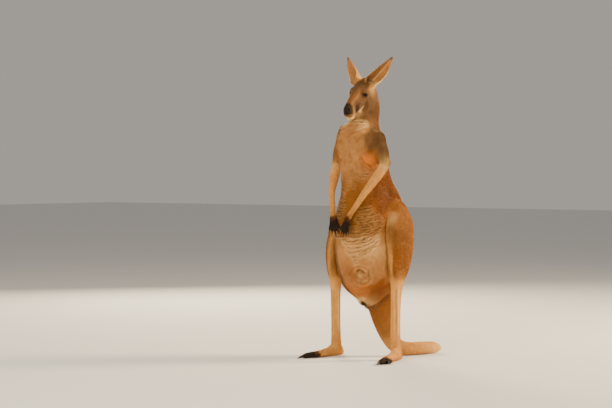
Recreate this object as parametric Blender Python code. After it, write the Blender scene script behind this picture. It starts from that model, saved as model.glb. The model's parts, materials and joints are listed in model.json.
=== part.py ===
"""A life-size adult red kangaroo standing at its full height, as a still model.

Metres, +Z up. The animal faces -Y and its own left side is at +X. It stands on the soles of
both hind feet and on the end of its tail, which all have small flats at the floor's level.
The body is modelled whole, as lofted forms and muscle masses that are fused into one skin,
and is then parted by thin cuts into the pieces that a person would name.
"""

import math
from dataclasses import dataclass

import bmesh
import bpy
import numpy as np
from mathutils import Matrix, Vector

# ---------------------------------------------------------------- driving sizes, in metres
GAP = 0.00044  # clearance between two neighbouring solids
CUT = 0.0006  # width of the thin cuts that part the body
FLAT = 0.0006  # how near the floor a sole counts as lying on it
SLIVERS = (0, 0.0002, 0.0004, 0.0006)  # edge lengths closed up, in turn, until a thinned solid is whole
BODY_VOXEL = 0.0065  # grain of the fused trunk and limbs
FINE_VOXEL = 0.0036  # grain once toes, fingers and face are added

HEAD_AT = Vector((0.0, -0.063, 1.433))  # between the eyes
HEAD_PITCH = math.radians(27.0)
HEAD_YAW = math.radians(4.0)
HEAD_ROLL = math.radians(7.0)
EYE_RADIUS = 0.0165
EAR_LENGTH = 0.176
FOOT_LENGTH = 0.312  # heel to the end of the long toe's flesh

LEFT, RIGHT = 1, -1
SIDES = {LEFT: "left", RIGHT: "right"}


@dataclass(frozen=True)
class Section:
    """One cross-section of a tapering form: its centre and its reach on each side of it."""

    at: tuple
    side: float
    fore: float
    aft: float


@dataclass(frozen=True)
class Mass:
    """A muscle or pad: an ellipsoid with its centre and its three half sizes."""

    at: tuple
    reach: tuple


@dataclass(frozen=True)
class Cut:
    """A thin slab that parts the body: its middle, its normal and how far it reaches."""

    at: tuple
    normal: tuple
    reach: tuple


def round_section(at, radius):
    """A circular section."""
    return Section(at, radius, radius, radius)


# ---------------------------------------------------------------- the trunk, neck and tail
TRUNK = [
    Section((-0.004, -0.030, 1.285), 0.066, 0.060, 0.085),
    Section((-0.008, -0.033, 1.225), 0.104, 0.096, 0.100),
    Section((-0.008, -0.035, 1.140), 0.114, 0.128, 0.130),
    Section((0, -0.015, 1.030), 0.118, 0.153, 0.160),
    Section((0, 0.006, 0.930), 0.125, 0.164, 0.186),
    Section((0, 0.025, 0.830), 0.156, 0.202, 0.240),
    Section((0, 0.035, 0.730), 0.172, 0.224, 0.236),
    Section((0, 0.040, 0.630), 0.170, 0.234, 0.225),
    Section((0, 0.042, 0.530), 0.164, 0.222, 0.200),
    Section((0, 0.050, 0.450), 0.160, 0.192, 0.185),
    Section((0, 0.058, 0.400), 0.148, 0.164, 0.168),
    Section((0, 0.066, 0.360), 0.112, 0.124, 0.130),
    Section((0, 0.075, 0.328), 0.068, 0.082, 0.085),
]
TRUNK_MASSES = [
    Mass((0.052, -0.105, 1.165), (0.060, 0.045, 0.075)),  # breast muscle
    Mass((-0.064, -0.105, 1.165), (0.060, 0.045, 0.075)),
    Mass((0.058, 0.030, 1.160), (0.045, 0.045, 0.080)),  # shoulder blade
    Mass((-0.066, 0.030, 1.160), (0.045, 0.045, 0.080)),
    Mass((-0.083, -0.048, 1.238), (0.056, 0.048, 0.045)),  # raised right shoulder
    Mass((0.0, -0.030, 0.405), (0.095, 0.085, 0.075)),  # slack of the lower belly
    Mass((0.0, -0.016, 0.332), (0.036, 0.046, 0.054)),  # round of the vent
]
NECK = [
    Section((-0.004, -0.006, 1.200), 0.098, 0.092, 0.092),
    Section((-0.002, 0.000, 1.250), 0.084, 0.090, 0.086),
    Section((0, 0.014, 1.295), 0.063, 0.076, 0.070),
    Section((0, 0.024, 1.345), 0.060, 0.078, 0.076),
    Section((0, 0.022, 1.395), 0.058, 0.074, 0.074),
    Section((0, 0.014, 1.450), 0.052, 0.054, 0.070),
    Section((0, 0.002, 1.482), 0.038, 0.044, 0.056),
]
TAIL = [
    Section((0.000, 0.110, 0.560), 0.110, 0.100, 0.125),
    Section((0.000, 0.125, 0.450), 0.098, 0.095, 0.112),
    Section((0.002, 0.130, 0.350), 0.083, 0.080, 0.092),
    Section((0.013, 0.130, 0.255), 0.069, 0.068, 0.072),
    Section((0.036, 0.139, 0.165), 0.058, 0.058, 0.058),
    Section((0.062, 0.152, 0.098), 0.050, 0.050, 0.050),
    Section((0.087, 0.178, 0.054), 0.045, 0.045, 0.045),
    Section((0.116, 0.232, 0.038), 0.041, 0.042, 0.042),
    Section((0.150, 0.335, 0.035), 0.039, 0.040, 0.041),
    Section((0.162, 0.410, 0.033), 0.036, 0.037, 0.040),
    Section((0.167, 0.456, 0.027), 0.028, 0.029, 0.034),
    Section((0.169, 0.484, 0.020), 0.017, 0.017, 0.022),
]

# ---------------------------------------------------------------- the limbs' joints
SHOULDER = {LEFT: (0.105, -0.035, 1.188), RIGHT: (-0.118, -0.032, 1.202)}
ELBOW = {LEFT: (0.172, -0.058, 1.052), RIGHT: (-0.172, -0.036, 1.045)}
FOREARM = {LEFT: (0.108, -0.178, 0.886), RIGHT: (-0.113, -0.156, 0.900)}
WRIST = {LEFT: (0.039, -0.215, 0.770), RIGHT: (-0.066, -0.208, 0.775)}
FINGERS = {LEFT: (0.017, -0.237, 0.675), RIGHT: (-0.048, -0.213, 0.670)}
ANKLE = {LEFT: (0.200, -0.005, 0.072), RIGHT: (-0.195, -0.002, 0.072)}
HEEL = {LEFT: (0.200, 0.040, 0.0), RIGHT: (-0.201, 0.062, 0.0)}
TOE_OUT = {LEFT: math.radians(12.5), RIGHT: math.radians(6.5)}


def between(start, end, share, shift=(0, 0, 0)):
    """The point at that share of the way from start to end, moved by shift."""
    return tuple(Vector(start).lerp(Vector(end), share) + Vector(shift))


# ---------------------------------------------------------------- lofted forms
def smooth_rows(rows, steps):
    """Rows of numbers with steps new rows between each two, on a smooth curve through them."""
    rows = np.array(rows, float)
    padded = np.vstack([2 * rows[0] - rows[1], rows, 2 * rows[-1] - rows[-2]])
    made = []
    for before, start, end, after in zip(padded, padded[1:], padded[2:], padded[3:]):
        for t in np.linspace(0, 1, steps, endpoint=False):
            made.append(
                0.5 * (2 * start + (end - before) * t
                       + (2 * before - 5 * start + 4 * end - after) * t**2
                       + (3 * start - before - 3 * end + after) * t**3)
            )
    made.append(rows[-1])
    return np.array(made)


def domed(rows, end):
    """The rows with a round cap of four more added past one end."""
    last, before = (rows[-1], rows[-2]) if end else (rows[0], rows[1])
    outward = last[:3] - before[:3]
    outward /= np.linalg.norm(outward)
    height = 0.5 * (last[3] + (last[4] + last[5]) / 2)
    cap = []
    for angle in np.radians([25, 50, 70, 84]):
        centre = last[:3] + outward * height * math.sin(angle)
        cap.append([*centre, *(last[3:] * math.cos(angle))])
    return np.vstack([rows, cap]) if end else np.vstack([cap[::-1], rows])


def add_loft(shape, sections, across=(1, 0, 0), sides=28, steps=5, caps=(True, True)):
    """Adds a closed form to the bmesh, lofted through the sections' rings."""
    rows = smooth_rows([[*s.at, s.side, s.fore, s.aft] for s in sections], steps)
    for end in (False, True):
        if caps[end]:
            rows = domed(rows, end)
    rings = []
    for i, row in enumerate(rows):
        along = Vector(rows[min(i + 1, len(rows) - 1)][:3] - rows[max(i - 1, 0)][:3]).normalized()
        side = Vector(across)
        side = (side - side.project(along)).normalized()
        fore = along.cross(side)
        ring = []
        for k in range(sides):
            angle = 2 * math.pi * k / sides
            depth = row[4] if math.sin(angle) > 0 else row[5]
            place = Vector(row[:3]) + side * row[3] * math.cos(angle) + fore * depth * math.sin(angle)
            ring.append(shape.verts.new(place))
        rings.append(ring)
    for first, second in zip(rings, rings[1:]):
        for k in range(sides):
            j = (k + 1) % sides
            shape.faces.new((first[k], first[j], second[j], second[k]))
    shape.faces.new(rings[0][::-1])
    shape.faces.new(rings[-1])


def add_mass(shape, mass, turn=None):
    """Adds an ellipsoid to the bmesh."""
    place = Matrix.Translation(mass.at) @ (turn or Matrix()) @ Matrix.Diagonal((*mass.reach, 1))
    bmesh.ops.create_icosphere(shape, subdivisions=3, radius=1, matrix=place)


def finished(shape, name):
    """A new object that holds the bmesh, with all its faces turned outwards."""
    bmesh.ops.recalc_face_normals(shape, faces=shape.faces)
    mesh = bpy.data.meshes.new(name)
    shape.to_mesh(mesh)
    shape.free()
    made = bpy.data.objects.new(name, mesh)
    bpy.context.scene.collection.objects.link(made)
    return made


def applied(made):
    """The object with its modifiers worked into its mesh."""
    graph = bpy.context.evaluated_depsgraph_get()
    mesh = bpy.data.meshes.new_from_object(made.evaluated_get(graph))
    made.modifiers.clear()
    old, made.data = made.data, mesh
    bpy.data.meshes.remove(old)
    return made


def fused(shape, name, voxel, smoothing):
    """The bmesh's overlapping forms as one closed, softened skin."""
    made = finished(shape, name)
    remesh = made.modifiers.new("one_skin", "REMESH")
    remesh.mode = "VOXEL"
    remesh.voxel_size = voxel
    soften = made.modifiers.new("soften", "SMOOTH")
    soften.factor = 0.5
    soften.iterations = smoothing
    return applied(made)


# ---------------------------------------------------------------- the head
HEAD_FRAME = (
    Matrix.Translation(HEAD_AT)
    @ Matrix.Rotation(HEAD_YAW, 4, "Z")
    @ Matrix.Rotation(HEAD_PITCH, 4, "X")
    @ Matrix.Rotation(HEAD_ROLL, 4, "Y")
)
# In the head's own frame -Y runs to the nose and +Z to the crown, from between the eyes.
HEAD = [
    Section((0, 0.096, -0.028), 0.038, 0.034, 0.042),
    Section((0, 0.082, -0.020), 0.052, 0.050, 0.058),
    Section((0, 0.058, -0.012), 0.060, 0.061, 0.072),
    Section((0, 0.025, -0.012), 0.055, 0.064, 0.076),
    Section((0, -0.012, -0.014), 0.046, 0.058, 0.074),
    Section((0, -0.048, -0.021), 0.036, 0.050, 0.066),
    Section((0, -0.084, -0.028), 0.031, 0.043, 0.057),
    Section((0, -0.116, -0.033), 0.029, 0.037, 0.049),
    Section((0, -0.138, -0.036), 0.0245, 0.032, 0.037),
]
HEAD_MASSES = [
    Mass((0.036, 0.035, -0.034), (0.027, 0.052, 0.048)),  # cheek
    Mass((0.0345, 0.004, 0.0168), (0.0190, 0.035, 0.0145)),  # brow
    Mass((0.027, -0.024, -0.022), (0.020, 0.050, 0.020)),  # cheekbone
    Mass((0.016, -0.124, -0.058), (0.016, 0.026, 0.018)),  # upper lip
    Mass((0.038, 0.082, 0.016), (0.026, 0.030, 0.024)),  # root of the ear
]
MUZZLE_PAD = Mass((0, -0.144, -0.022), (0.020, 0.013, 0.017))
CHIN = Mass((0, -0.118, -0.086), (0.019, 0.038, 0.015))
EYE_AT = (0.0372, -0.004, 0.001)


def add_in_head(shape, mass, side=1):
    """Adds an ellipsoid given in the head's frame, on that side."""
    here = Mass(tuple(HEAD_FRAME @ Vector((mass.at[0] * side, *mass.at[1:]))), mass.reach)
    add_mass(shape, here, HEAD_FRAME.to_3x3().to_4x4())


def add_head(shape):
    """Adds the skull, muzzle, cheeks, brows and chin."""
    sections = [Section(tuple(HEAD_FRAME @ Vector(s.at)), s.side, s.fore, s.aft) for s in HEAD]
    across = HEAD_FRAME.to_3x3() @ Vector((1, 0, 0))
    add_loft(shape, sections, across)
    for side in SIDES:
        for mass in HEAD_MASSES:
            add_in_head(shape, mass, side)
    add_in_head(shape, MUZZLE_PAD)
    add_in_head(shape, CHIN)


# ---------------------------------------------------------------- the ears
EAR_ROOT = (0.040, 0.088, 0.034)  # in the head's frame
EAR_AIM = (0.114, 0.029, 0.140)
EAR_SPREAD = (0.032, 0.0365, 0.0345, 0.0265, 0.0155, 0.004)  # half widths from root to tip
EAR_WALL = 0.0056
EAR_BOW = 0.011  # how far the ear curves outwards at its middle
EAR_TAPER = 2.2  # how fast the funnel narrows below the ear's root


def ear_spread(t):
    """Half width of the ear at that share of its length."""
    steps = 8
    smooth = smooth_rows([[width, 0] for width in EAR_SPREAD], steps)[:, 0]
    return float(np.interp(t * (len(EAR_SPREAD) - 1) * steps, range(len(smooth)), smooth))


def ear_frame(side):
    """The ear's root, and its axes out along it, across it and into its mouth."""
    root = HEAD_FRAME @ Vector((EAR_ROOT[0] * side, *EAR_ROOT[1:]))
    along = Vector((EAR_AIM[0] * side, *EAR_AIM[1:])).normalized()
    mouth = Vector((0.35 * side, -1.0, 0.10))
    mouth = (mouth - mouth.project(along)).normalized()
    return root, along, mouth.cross(along), mouth


def build_ear(side):
    """One ear: a cupped leaf, rolled to a funnel at its root."""
    root, along, across, mouth = ear_frame(side)
    shape = bmesh.new()
    rows = []
    for t in np.linspace(-0.16, 1, 24):
        spread = ear_spread(max(t, 0)) * (1 + EAR_TAPER * min(t, 0))
        roll = math.radians(62 + 88 * math.exp(-max(t, 0) / 0.16))
        curve = spread / math.sin(min(roll, math.pi / 2))
        row = []
        for share in np.linspace(-1, 1, 15):
            angle = roll * share
            place = root + along * EAR_LENGTH * t
            place += across * curve * math.sin(angle) + mouth * curve * (0.55 - math.cos(angle))
            place += Vector((side * EAR_BOW * math.sin(math.pi * max(t, 0)), 0, 0)) - mouth * 0.012 * t**2
            row.append(shape.verts.new(place))
        rows.append(row)
    for first, second in zip(rows, rows[1:]):
        for k in range(len(first) - 1):
            shape.faces.new((first[k], first[k + 1], second[k + 1], second[k]))
    leaf = finished(shape, "ear_leaf")
    wall = leaf.modifiers.new("wall", "SOLIDIFY")
    wall.thickness = EAR_WALL
    wall.offset = 0
    applied(leaf)
    shape = bmesh.new()
    shape.from_mesh(leaf.data)
    bpy.data.objects.remove(leaf)
    add_mass(shape, Mass(tuple(root - along * 0.016), (0.018, 0.018, 0.018)))
    return fused(shape, f"ear_{SIDES[side]}", 0.0024, 2)


# ---------------------------------------------------------------- arms and hands
def add_arm(shape, side):
    """Adds the shoulder, the upper arm and the forearm down to the wrist."""
    shoulder, elbow, middle, wrist = (j[side] for j in (SHOULDER, ELBOW, FOREARM, WRIST))
    add_mass(shape, Mass(between(shoulder, elbow, 0.04), (0.044, 0.052, 0.058)))
    add_loft(shape, [
        round_section(between(shoulder, elbow, -0.05, (-0.015 * side, 0, 0)), 0.040),
        round_section(between(shoulder, elbow, 0.35), 0.043),
        round_section(between(shoulder, elbow, 0.70), 0.037),
        round_section(elbow, 0.029),
    ])
    add_mass(shape, Mass(between(elbow, middle, -0.05, (0, 0.010, 0.002)), (0.024, 0.028, 0.026)))
    add_loft(shape, [
        round_section(between(elbow, middle, -0.06), 0.027),
        round_section(between(elbow, middle, 0.30, (0, 0.002, 0)), 0.0295),
        round_section(between(elbow, middle, 0.68), 0.0255),
        round_section(middle, 0.0220),
        round_section(between(middle, wrist, 0.55), 0.0190),
        round_section(wrist, 0.0180),
    ])


def hand_frame(side):
    """The hand's matrix: -Z runs to the fingers, X across the palm and -Y out of its back."""
    down = (Vector(FINGERS[side]) - Vector(WRIST[side])).normalized()
    back = Vector((-0.25 * side, -1, 0))
    back = (back - back.project(down)).normalized()
    across = back.cross(down)
    turn = Matrix((across, -back, -down)).transposed()
    return Matrix.Translation(WRIST[side]) @ turn.to_4x4()


FINGER_SPREAD = (-0.62, -0.30, 0.0, 0.30, 0.62)  # radians, the five fingers' fan
FINGER_LENGTH = (0.026, 0.035, 0.038, 0.034, 0.026)
FINGER_RADIUS = 0.0066
PALM_LENGTH = 0.052


def finger_line(frame, angle, length, start, end):
    """Two points of a finger in the world: at these distances past its knuckle."""
    knuckle = Vector((0.020 * math.sin(angle) / math.sin(0.62), 0, -PALM_LENGTH + 0.010 * abs(angle)))
    aim = Vector((math.sin(angle * 0.75), 0.10, -math.cos(angle * 0.75)))
    return [tuple(frame @ (knuckle + aim * reach)) for reach in (start, end)]


def add_hand(shape, side):
    """Adds the palm and the five fingers."""
    frame = hand_frame(side)
    across = frame.to_3x3() @ Vector((1, 0, 0))
    palm = [
        (0.0, 0.0185, 0.0175),
        (-0.022, 0.022, 0.0150),
        (-0.042, 0.0255, 0.0130),
        (-PALM_LENGTH, 0.0235, 0.0105),
    ]
    add_loft(shape, [Section(tuple(frame @ Vector((0, 0, z))), w, d, d) for z, w, d in palm], across)
    for angle, length in zip(FINGER_SPREAD, FINGER_LENGTH):
        root, tip = finger_line(frame, angle, length, -0.012, length)
        add_loft(shape, [
            round_section(root, FINGER_RADIUS * 1.1),
            round_section(between(root, tip, 0.6), FINGER_RADIUS),
            round_section(tip, FINGER_RADIUS * 0.75),
        ], across, sides=14, steps=3)


# ---------------------------------------------------------------- legs and feet
LEG = {
    LEFT: [
        Section((0.145, 0.080, 0.800), 0.058, 0.082, 0.085),
        Section((0.165, 0.075, 0.735), 0.070, 0.104, 0.104),
        Section((0.178, 0.068, 0.660), 0.066, 0.108, 0.104),
        Section((0.185, 0.058, 0.580), 0.058, 0.098, 0.100),
        Section((0.192, 0.038, 0.510), 0.050, 0.078, 0.088),
        Section((0.196, 0.020, 0.455), 0.041, 0.056, 0.066),
        Section((0.199, 0.008, 0.400), 0.031, 0.040, 0.046),
        Section((0.200, 0.000, 0.340), 0.027, 0.034, 0.040),
        Section((0.200, -0.005, 0.250), 0.026, 0.032, 0.037),
        Section((0.200, -0.006, 0.160), 0.026, 0.032, 0.037),
        Section((0.200, -0.005, 0.100), 0.028, 0.034, 0.037),
        Section((0.200, -0.003, 0.050), 0.027, 0.034, 0.034),
    ],
    RIGHT: [
        Section((-0.145, 0.075, 0.800), 0.058, 0.082, 0.085),
        Section((-0.166, 0.060, 0.735), 0.070, 0.100, 0.104),
        Section((-0.184, 0.036, 0.660), 0.062, 0.098, 0.104),
        Section((-0.196, 0.012, 0.580), 0.053, 0.090, 0.098),
        Section((-0.199, 0.000, 0.510), 0.046, 0.072, 0.084),
        Section((-0.198, -0.004, 0.455), 0.039, 0.054, 0.064),
        Section((-0.196, -0.007, 0.400), 0.030, 0.039, 0.045),
        Section((-0.195, -0.009, 0.340), 0.026, 0.033, 0.039),
        Section((-0.195, -0.008, 0.250), 0.025, 0.031, 0.036),
        Section((-0.195, -0.006, 0.160), 0.025, 0.031, 0.036),
        Section((-0.195, -0.003, 0.100), 0.027, 0.033, 0.036),
        Section((-0.195, 0.000, 0.050), 0.027, 0.034, 0.034),
    ],
}
KNEE = {LEFT: (0.197, -0.022, 0.500), RIGHT: (-0.201, -0.042, 0.500)}


def add_leg(shape, side):
    """Adds the thigh, the kneecap and the long upright shank."""
    add_loft(shape, LEG[side])
    add_mass(shape, Mass(KNEE[side], (0.031, 0.028, 0.060)))


def foot_frame(side):
    """The foot's matrix: -Y runs from the heel to the toes and X to the animal's left."""
    return Matrix.Translation(HEEL[side]) @ Matrix.Rotation(side * TOE_OUT[side], 4, "Z")


@dataclass(frozen=True)
class Toe:
    """One hind toe: where its flesh starts and ends from the heel, and its claw."""

    name: str
    root: tuple
    tip: tuple
    radius: float
    claw: float


TOES = [
    Toe("long", (0.004, 0.190, 0.0165), (0.006, FOOT_LENGTH - 0.006, 0.0125), 0.0165, 0.046),
    Toe("outer", (0.020, 0.175, 0.0145), (0.040, 0.258, 0.0110), 0.0125, 0.032),
    Toe("grooming_a", (-0.018, 0.180, 0.0170), (-0.022, 0.236, 0.0150), 0.0072, 0.018),
    Toe("grooming_b", (-0.022, 0.172, 0.0140), (-0.031, 0.226, 0.0120), 0.0072, 0.018),
]
FOOT = [
    (0.012, 0.020, 0.040),
    (0.035, 0.027, 0.066),
    (0.070, 0.027, 0.066),
    (0.110, 0.024, 0.050),
    (0.160, 0.025, 0.040),
    (0.205, 0.028, 0.035),
    (0.225, 0.024, 0.028),
]


def in_foot(side, point):
    """A point given as outward, forward of the heel, and up, in the world."""
    return tuple(foot_frame(side) @ Vector((side * point[0], -point[1], point[2])))


def add_foot(shape, side):
    """Adds the heel, the long sole and the toes."""
    across = foot_frame(side).to_3x3() @ Vector((1, 0, 0))
    sections = []
    for forward, width, height in FOOT:
        middle = in_foot(side, (0, forward, height * 0.42))
        sections.append(Section(middle, width, height * 0.58, height * 0.50))
    add_loft(shape, sections, across)
    for toe in TOES:
        add_loft(shape, [
            round_section(in_foot(side, toe.root), toe.radius * 1.10),
            round_section(in_foot(side, between(toe.root, toe.tip, 0.55, (0, 0, 0.002))), toe.radius * 1.04),
            round_section(in_foot(side, between(toe.root, toe.tip, 0.86)), toe.radius * 0.98),
            round_section(in_foot(side, toe.tip), toe.radius * 0.62),
        ], across, sides=18, steps=3)


# ---------------------------------------------------------------- claws and eyes
def build_claw(name, start, end, radius, droop, across):
    """A curved, tapering claw, blunt enough at its tip to stay a solid."""
    shape = bmesh.new()
    start, end = Vector(start), Vector(end)
    bend = Vector((0, 0, droop)) if abs((end - start).normalized().z) < 0.7 else Vector((0, droop, 0))
    sections = []
    for share in (0.0, 0.4, 0.75, 1.0):
        at = start.lerp(end, share) - bend * (share**2 - share)
        size = radius * (1 - 0.78 * share**1.4)
        sections.append(Section(tuple(at), size * 0.72, size, size))
    add_loft(shape, sections, across, sides=6, steps=1, caps=(False, False))
    return finished(shape, name)


def build_hand_claws(side):
    """The five claws of one hand."""
    frame = hand_frame(side)
    across = frame.to_3x3() @ Vector((1, 0, 0))
    claws = []
    for number, (angle, length) in enumerate(zip(FINGER_SPREAD, FINGER_LENGTH), 1):
        start, end = finger_line(frame, angle, length, length - 0.005, length + 0.024)
        claws.append(build_claw(f"hand_claw_{SIDES[side]}_{number}", start, end, 0.0045, 0.012, across))
    return claws


def build_toe_claws(side):
    """The four claws of one hind foot."""
    across = foot_frame(side).to_3x3() @ Vector((1, 0, 0))
    claws = []
    for toe in TOES:
        root, tip = Vector(toe.root), Vector(toe.tip)
        aim = Vector((tip.x - root.x, tip.y - root.y, 0)).normalized()
        start = tip - aim * 0.006 + Vector((0, 0, toe.radius * 0.10))
        end = tip + aim * toe.claw
        end.z = 0.0035
        name = f"toe_claw_{SIDES[side]}_{toe.name}"
        ends = in_foot(side, start), in_foot(side, end)
        claws.append(build_claw(name, *ends, toe.radius * 0.66, 0.010, across))
    return claws


def build_eye(side):
    """One eyeball, which the head holds in a socket open to the front."""
    at = HEAD_FRAME @ Vector((EYE_AT[0] * side, *EYE_AT[1:]))
    shape = bmesh.new()
    place = Matrix.Translation(at)
    bmesh.ops.create_uvsphere(shape, u_segments=10, v_segments=8, radius=EYE_RADIUS, matrix=place)
    return finished(shape, f"eye_{SIDES[side]}")


# ---------------------------------------------------------------- the thin cuts
def limb_cuts(side):
    """The cuts that part one arm and one leg, each at its joint."""
    shoulder, elbow, middle = (Vector(j[side]) for j in (SHOULDER, ELBOW, FOREARM))
    wrist, fingers, knee, ankle = (Vector(j[side]) for j in (WRIST, FINGERS, KNEE, ANKLE))
    bend = ((middle - elbow).normalized() + Vector((0, 0, -1))).normalized()
    return [
        Cut((0.111 * side, -0.046, 1.168), (0.984 * side, 0, 0.177), (0.115, 0.119)),
        Cut(tuple(elbow + Vector((0, -0.004, -0.006))), tuple(bend), (0.042, 0.055)),
        Cut(tuple(wrist + Vector((0, 0, 0.004))), tuple(fingers - wrist), (0.028, 0.026)),
        Cut((0.163 * side, 0.060, 0.640), (side, 0, 0), (0.200, 0.235)),
        Cut((0.206 * side, knee.y + 0.040, 0.440), (0, 0, 1), (0.043, 0.090)),
        Cut((ankle.x, ankle.y + 0.004, 0.088), (0, 0, 1), (0.046, 0.060)),
    ]


BODY_CUTS = [
    Cut((0, 0.010, 1.395), (0, -0.669, 0.743), (0.090, 0.128)),
    Cut((0, 0.008, 1.290), (0, -0.12, 0.99), (0.115, 0.130)),
    Cut((0, 0.125, 0.3593), (0, 0.627, -0.779), (0.136, 0.165)),
    Cut(TAIL[4].at, (0.25, 0.15, -0.95), (0.085, 0.085)),
    Cut(between(TAIL[7].at, TAIL[8].at, 0.2), (0.32, 0.94, -0.05), (0.062, 0.062)),
]


def build_slab(cut):
    """The thin box of one cut. Its first reach is along X, or Y where the normal is near X."""
    normal = Vector(cut.normal).normalized()
    first = Vector((1, 0, 0)) if abs(normal.x) < 0.9 else Vector((0, 1, 0))
    first = (first - first.project(normal)).normalized()
    turn = Matrix((first, normal.cross(first), normal)).transposed().to_4x4()
    size = Matrix.Diagonal((2 * cut.reach[0], 2 * cut.reach[1], CUT, 1))
    shape = bmesh.new()
    bmesh.ops.create_cube(shape, size=1, matrix=Matrix.Translation(cut.at) @ turn @ size)
    return finished(shape, "slab")


def cut_away(made, tools, clearance=0.0):
    """Takes each tool's shape, grown by the clearance, out of the object."""
    for tool in tools:
        knife = bpy.data.objects.new("knife", tool.data.copy())
        bpy.context.scene.collection.objects.link(knife)
        if clearance:
            shape = bmesh.new()
            shape.from_mesh(knife.data)
            shape.normal_update()
            for vertex in shape.verts:
                vertex.co += vertex.normal * clearance
            shape.to_mesh(knife.data)
            shape.free()
        boolean = made.modifiers.new("cut", "BOOLEAN")
        boolean.operation = "DIFFERENCE"
        boolean.object = knife
        bpy.context.view_layer.update()
        applied(made)
        bpy.data.objects.remove(knife)
    return made


# ---------------------------------------------------------------- building it all
def build_flesh():
    """The whole animal's flesh as one skin, without its ears."""
    shape = bmesh.new()
    add_loft(shape, TRUNK)
    add_loft(shape, NECK)
    add_loft(shape, TAIL)
    for mass in TRUNK_MASSES:
        add_mass(shape, mass)
    for side in SIDES:
        add_arm(shape, side)
        add_leg(shape, side)
    rough = fused(shape, "rough", BODY_VOXEL, 12)
    shape = bmesh.new()
    shape.from_mesh(rough.data)
    bpy.data.objects.remove(rough)
    add_head(shape)
    for side in SIDES:
        add_hand(shape, side)
        add_foot(shape, side)
    return fused(shape, "flesh", FINE_VOXEL, 3)


def level_floor(made):
    """Cuts everything below the floor away, which leaves the small flats it stands on."""
    shape = bmesh.new()
    shape.from_mesh(made.data)
    everything = shape.verts[:] + shape.edges[:] + shape.faces[:]
    plane = {"plane_co": (0, 0, 0), "plane_no": (0, 0, 1)}
    cut = bmesh.ops.bisect_plane(shape, geom=everything, clear_inner=True, **plane)
    edges = [e for e in cut["geom_cut"] if isinstance(e, bmesh.types.BMEdge)]
    bmesh.ops.holes_fill(shape, edges=edges, sides=0)
    shape.to_mesh(made.data)
    shape.free()
    return made


def is_closed(mesh):
    """Whether every edge of the mesh has exactly two faces."""
    shape = bmesh.new()
    shape.from_mesh(mesh)
    closed = all(edge.is_manifold for edge in shape.edges)
    shape.free()
    return closed


def without_slivers(made, shortest):
    """The object with its shortest edges closed up."""
    shape = bmesh.new()
    shape.from_mesh(made.data)
    bmesh.ops.dissolve_degenerate(shape, dist=shortest, edges=shape.edges[:])
    shape.to_mesh(made.data)
    shape.free()
    return made


def thinned(made, faces):
    """The object with about that many triangles left, still closed."""
    count = sum(len(face.vertices) - 2 for face in made.data.polygons)
    whole = made.data
    for shortest in SLIVERS:
        made.data = whole.copy()
        if shortest:
            without_slivers(made, shortest)
        made.modifiers.new("thin", "DECIMATE").ratio = min(1.0, faces / count)
        if is_closed(applied(made).data):
            break
    return made


@dataclass(frozen=True)
class Piece:
    """A named piece of the body: a place near its middle and its share of the triangles."""

    at: tuple
    faces: int


PIECES = {
    "head": Piece(tuple(HEAD_AT), 1280),
    "neck": Piece(NECK[3].at, 280),
    "trunk": Piece(TRUNK[5].at, 1250),
    "tail_root": Piece(TAIL[3].at, 220),
    "tail_middle": Piece(TAIL[6].at, 230),
    "tail_end": Piece(TAIL[9].at, 150),
}
for _side, _name in SIDES.items():
    PIECES |= {
        f"upper_arm_{_name}": Piece(between(SHOULDER[_side], ELBOW[_side], 0.5), 210),
        f"forearm_{_name}": Piece(FOREARM[_side], 190),
        f"hand_{_name}": Piece(between(WRIST[_side], FINGERS[_side], 0.5), 360),
        f"thigh_{_name}": Piece(between(LEG[_side][2].at, LEG[_side][3].at, 0.5), 290),
        f"shank_{_name}": Piece(LEG[_side][8].at, 230),
        f"foot_{_name}": Piece(in_foot(_side, (0, 0.14, 0.02)), 480),
    }


def loose_parts(made):
    """The object's separate bodies, each as its own object."""
    bpy.ops.object.select_all(action="DESELECT")
    made.select_set(True)
    bpy.context.view_layer.objects.active = made
    bpy.ops.mesh.separate(type="LOOSE")
    return list(bpy.context.selected_objects)


def largest_body(made):
    """The object with only its biggest body left, without any stray chips."""
    shape = bmesh.new()
    shape.from_mesh(made.data)
    waiting = set(shape.faces)
    bodies = []
    while waiting:
        front = [waiting.pop()]
        body = list(front)
        while front:
            face = front.pop()
            near = {other for edge in face.edges for other in edge.link_faces} & waiting
            waiting -= near
            body += near
            front += near
        bodies.append(body)
    bodies.sort(key=len)
    for chip in bodies[:-1]:
        bmesh.ops.delete(shape, geom=chip, context="FACES")
    shape.to_mesh(made.data)
    shape.free()
    return made


def reaches(piece, slab):
    """Whether the boxes round the two objects overlap."""
    boxes = [np.array([v.co for v in made.data.vertices]) for made in (piece, slab)]
    return bool((boxes[0].min(0) < boxes[1].max(0)).all() and (boxes[1].min(0) < boxes[0].max(0)).all())


def part_flesh(made):
    """Parts the body with the thin cuts and names each piece by where it lies."""
    pieces = [made]
    for cut in BODY_CUTS + limb_cuts(LEFT) + limb_cuts(RIGHT):
        slab = build_slab(cut)
        done = []
        for piece in pieces:
            done += loose_parts(cut_away(piece, [slab])) if reaches(piece, slab) else [piece]
        pieces = done
        bpy.data.objects.remove(slab)
    for piece in pieces:
        middle = sum((v.co for v in piece.data.vertices), Vector()) / len(piece.data.vertices)
        piece.name = min(PIECES, key=lambda name: (middle - Vector(PIECES[name].at)).length)
        thinned(piece, PIECES[piece.name].faces)
        for vertex in piece.data.vertices:
            if abs(vertex.co.z) < FLAT:
                vertex.co.z = 0.0
    return {piece.name: piece for piece in pieces}


# ---------------------------------------------------------------- colours
def material(name, colour, roughness):
    """A plain material with that linear colour."""
    made = bpy.data.materials.new(name)
    made.use_nodes = True
    shader = made.node_tree.nodes["Principled BSDF"]
    shader.inputs["Base Color"].default_value = (*colour, 1)
    shader.inputs["Roughness"].default_value = roughness
    shader.inputs["Metallic"].default_value = 0.0
    return made


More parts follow.
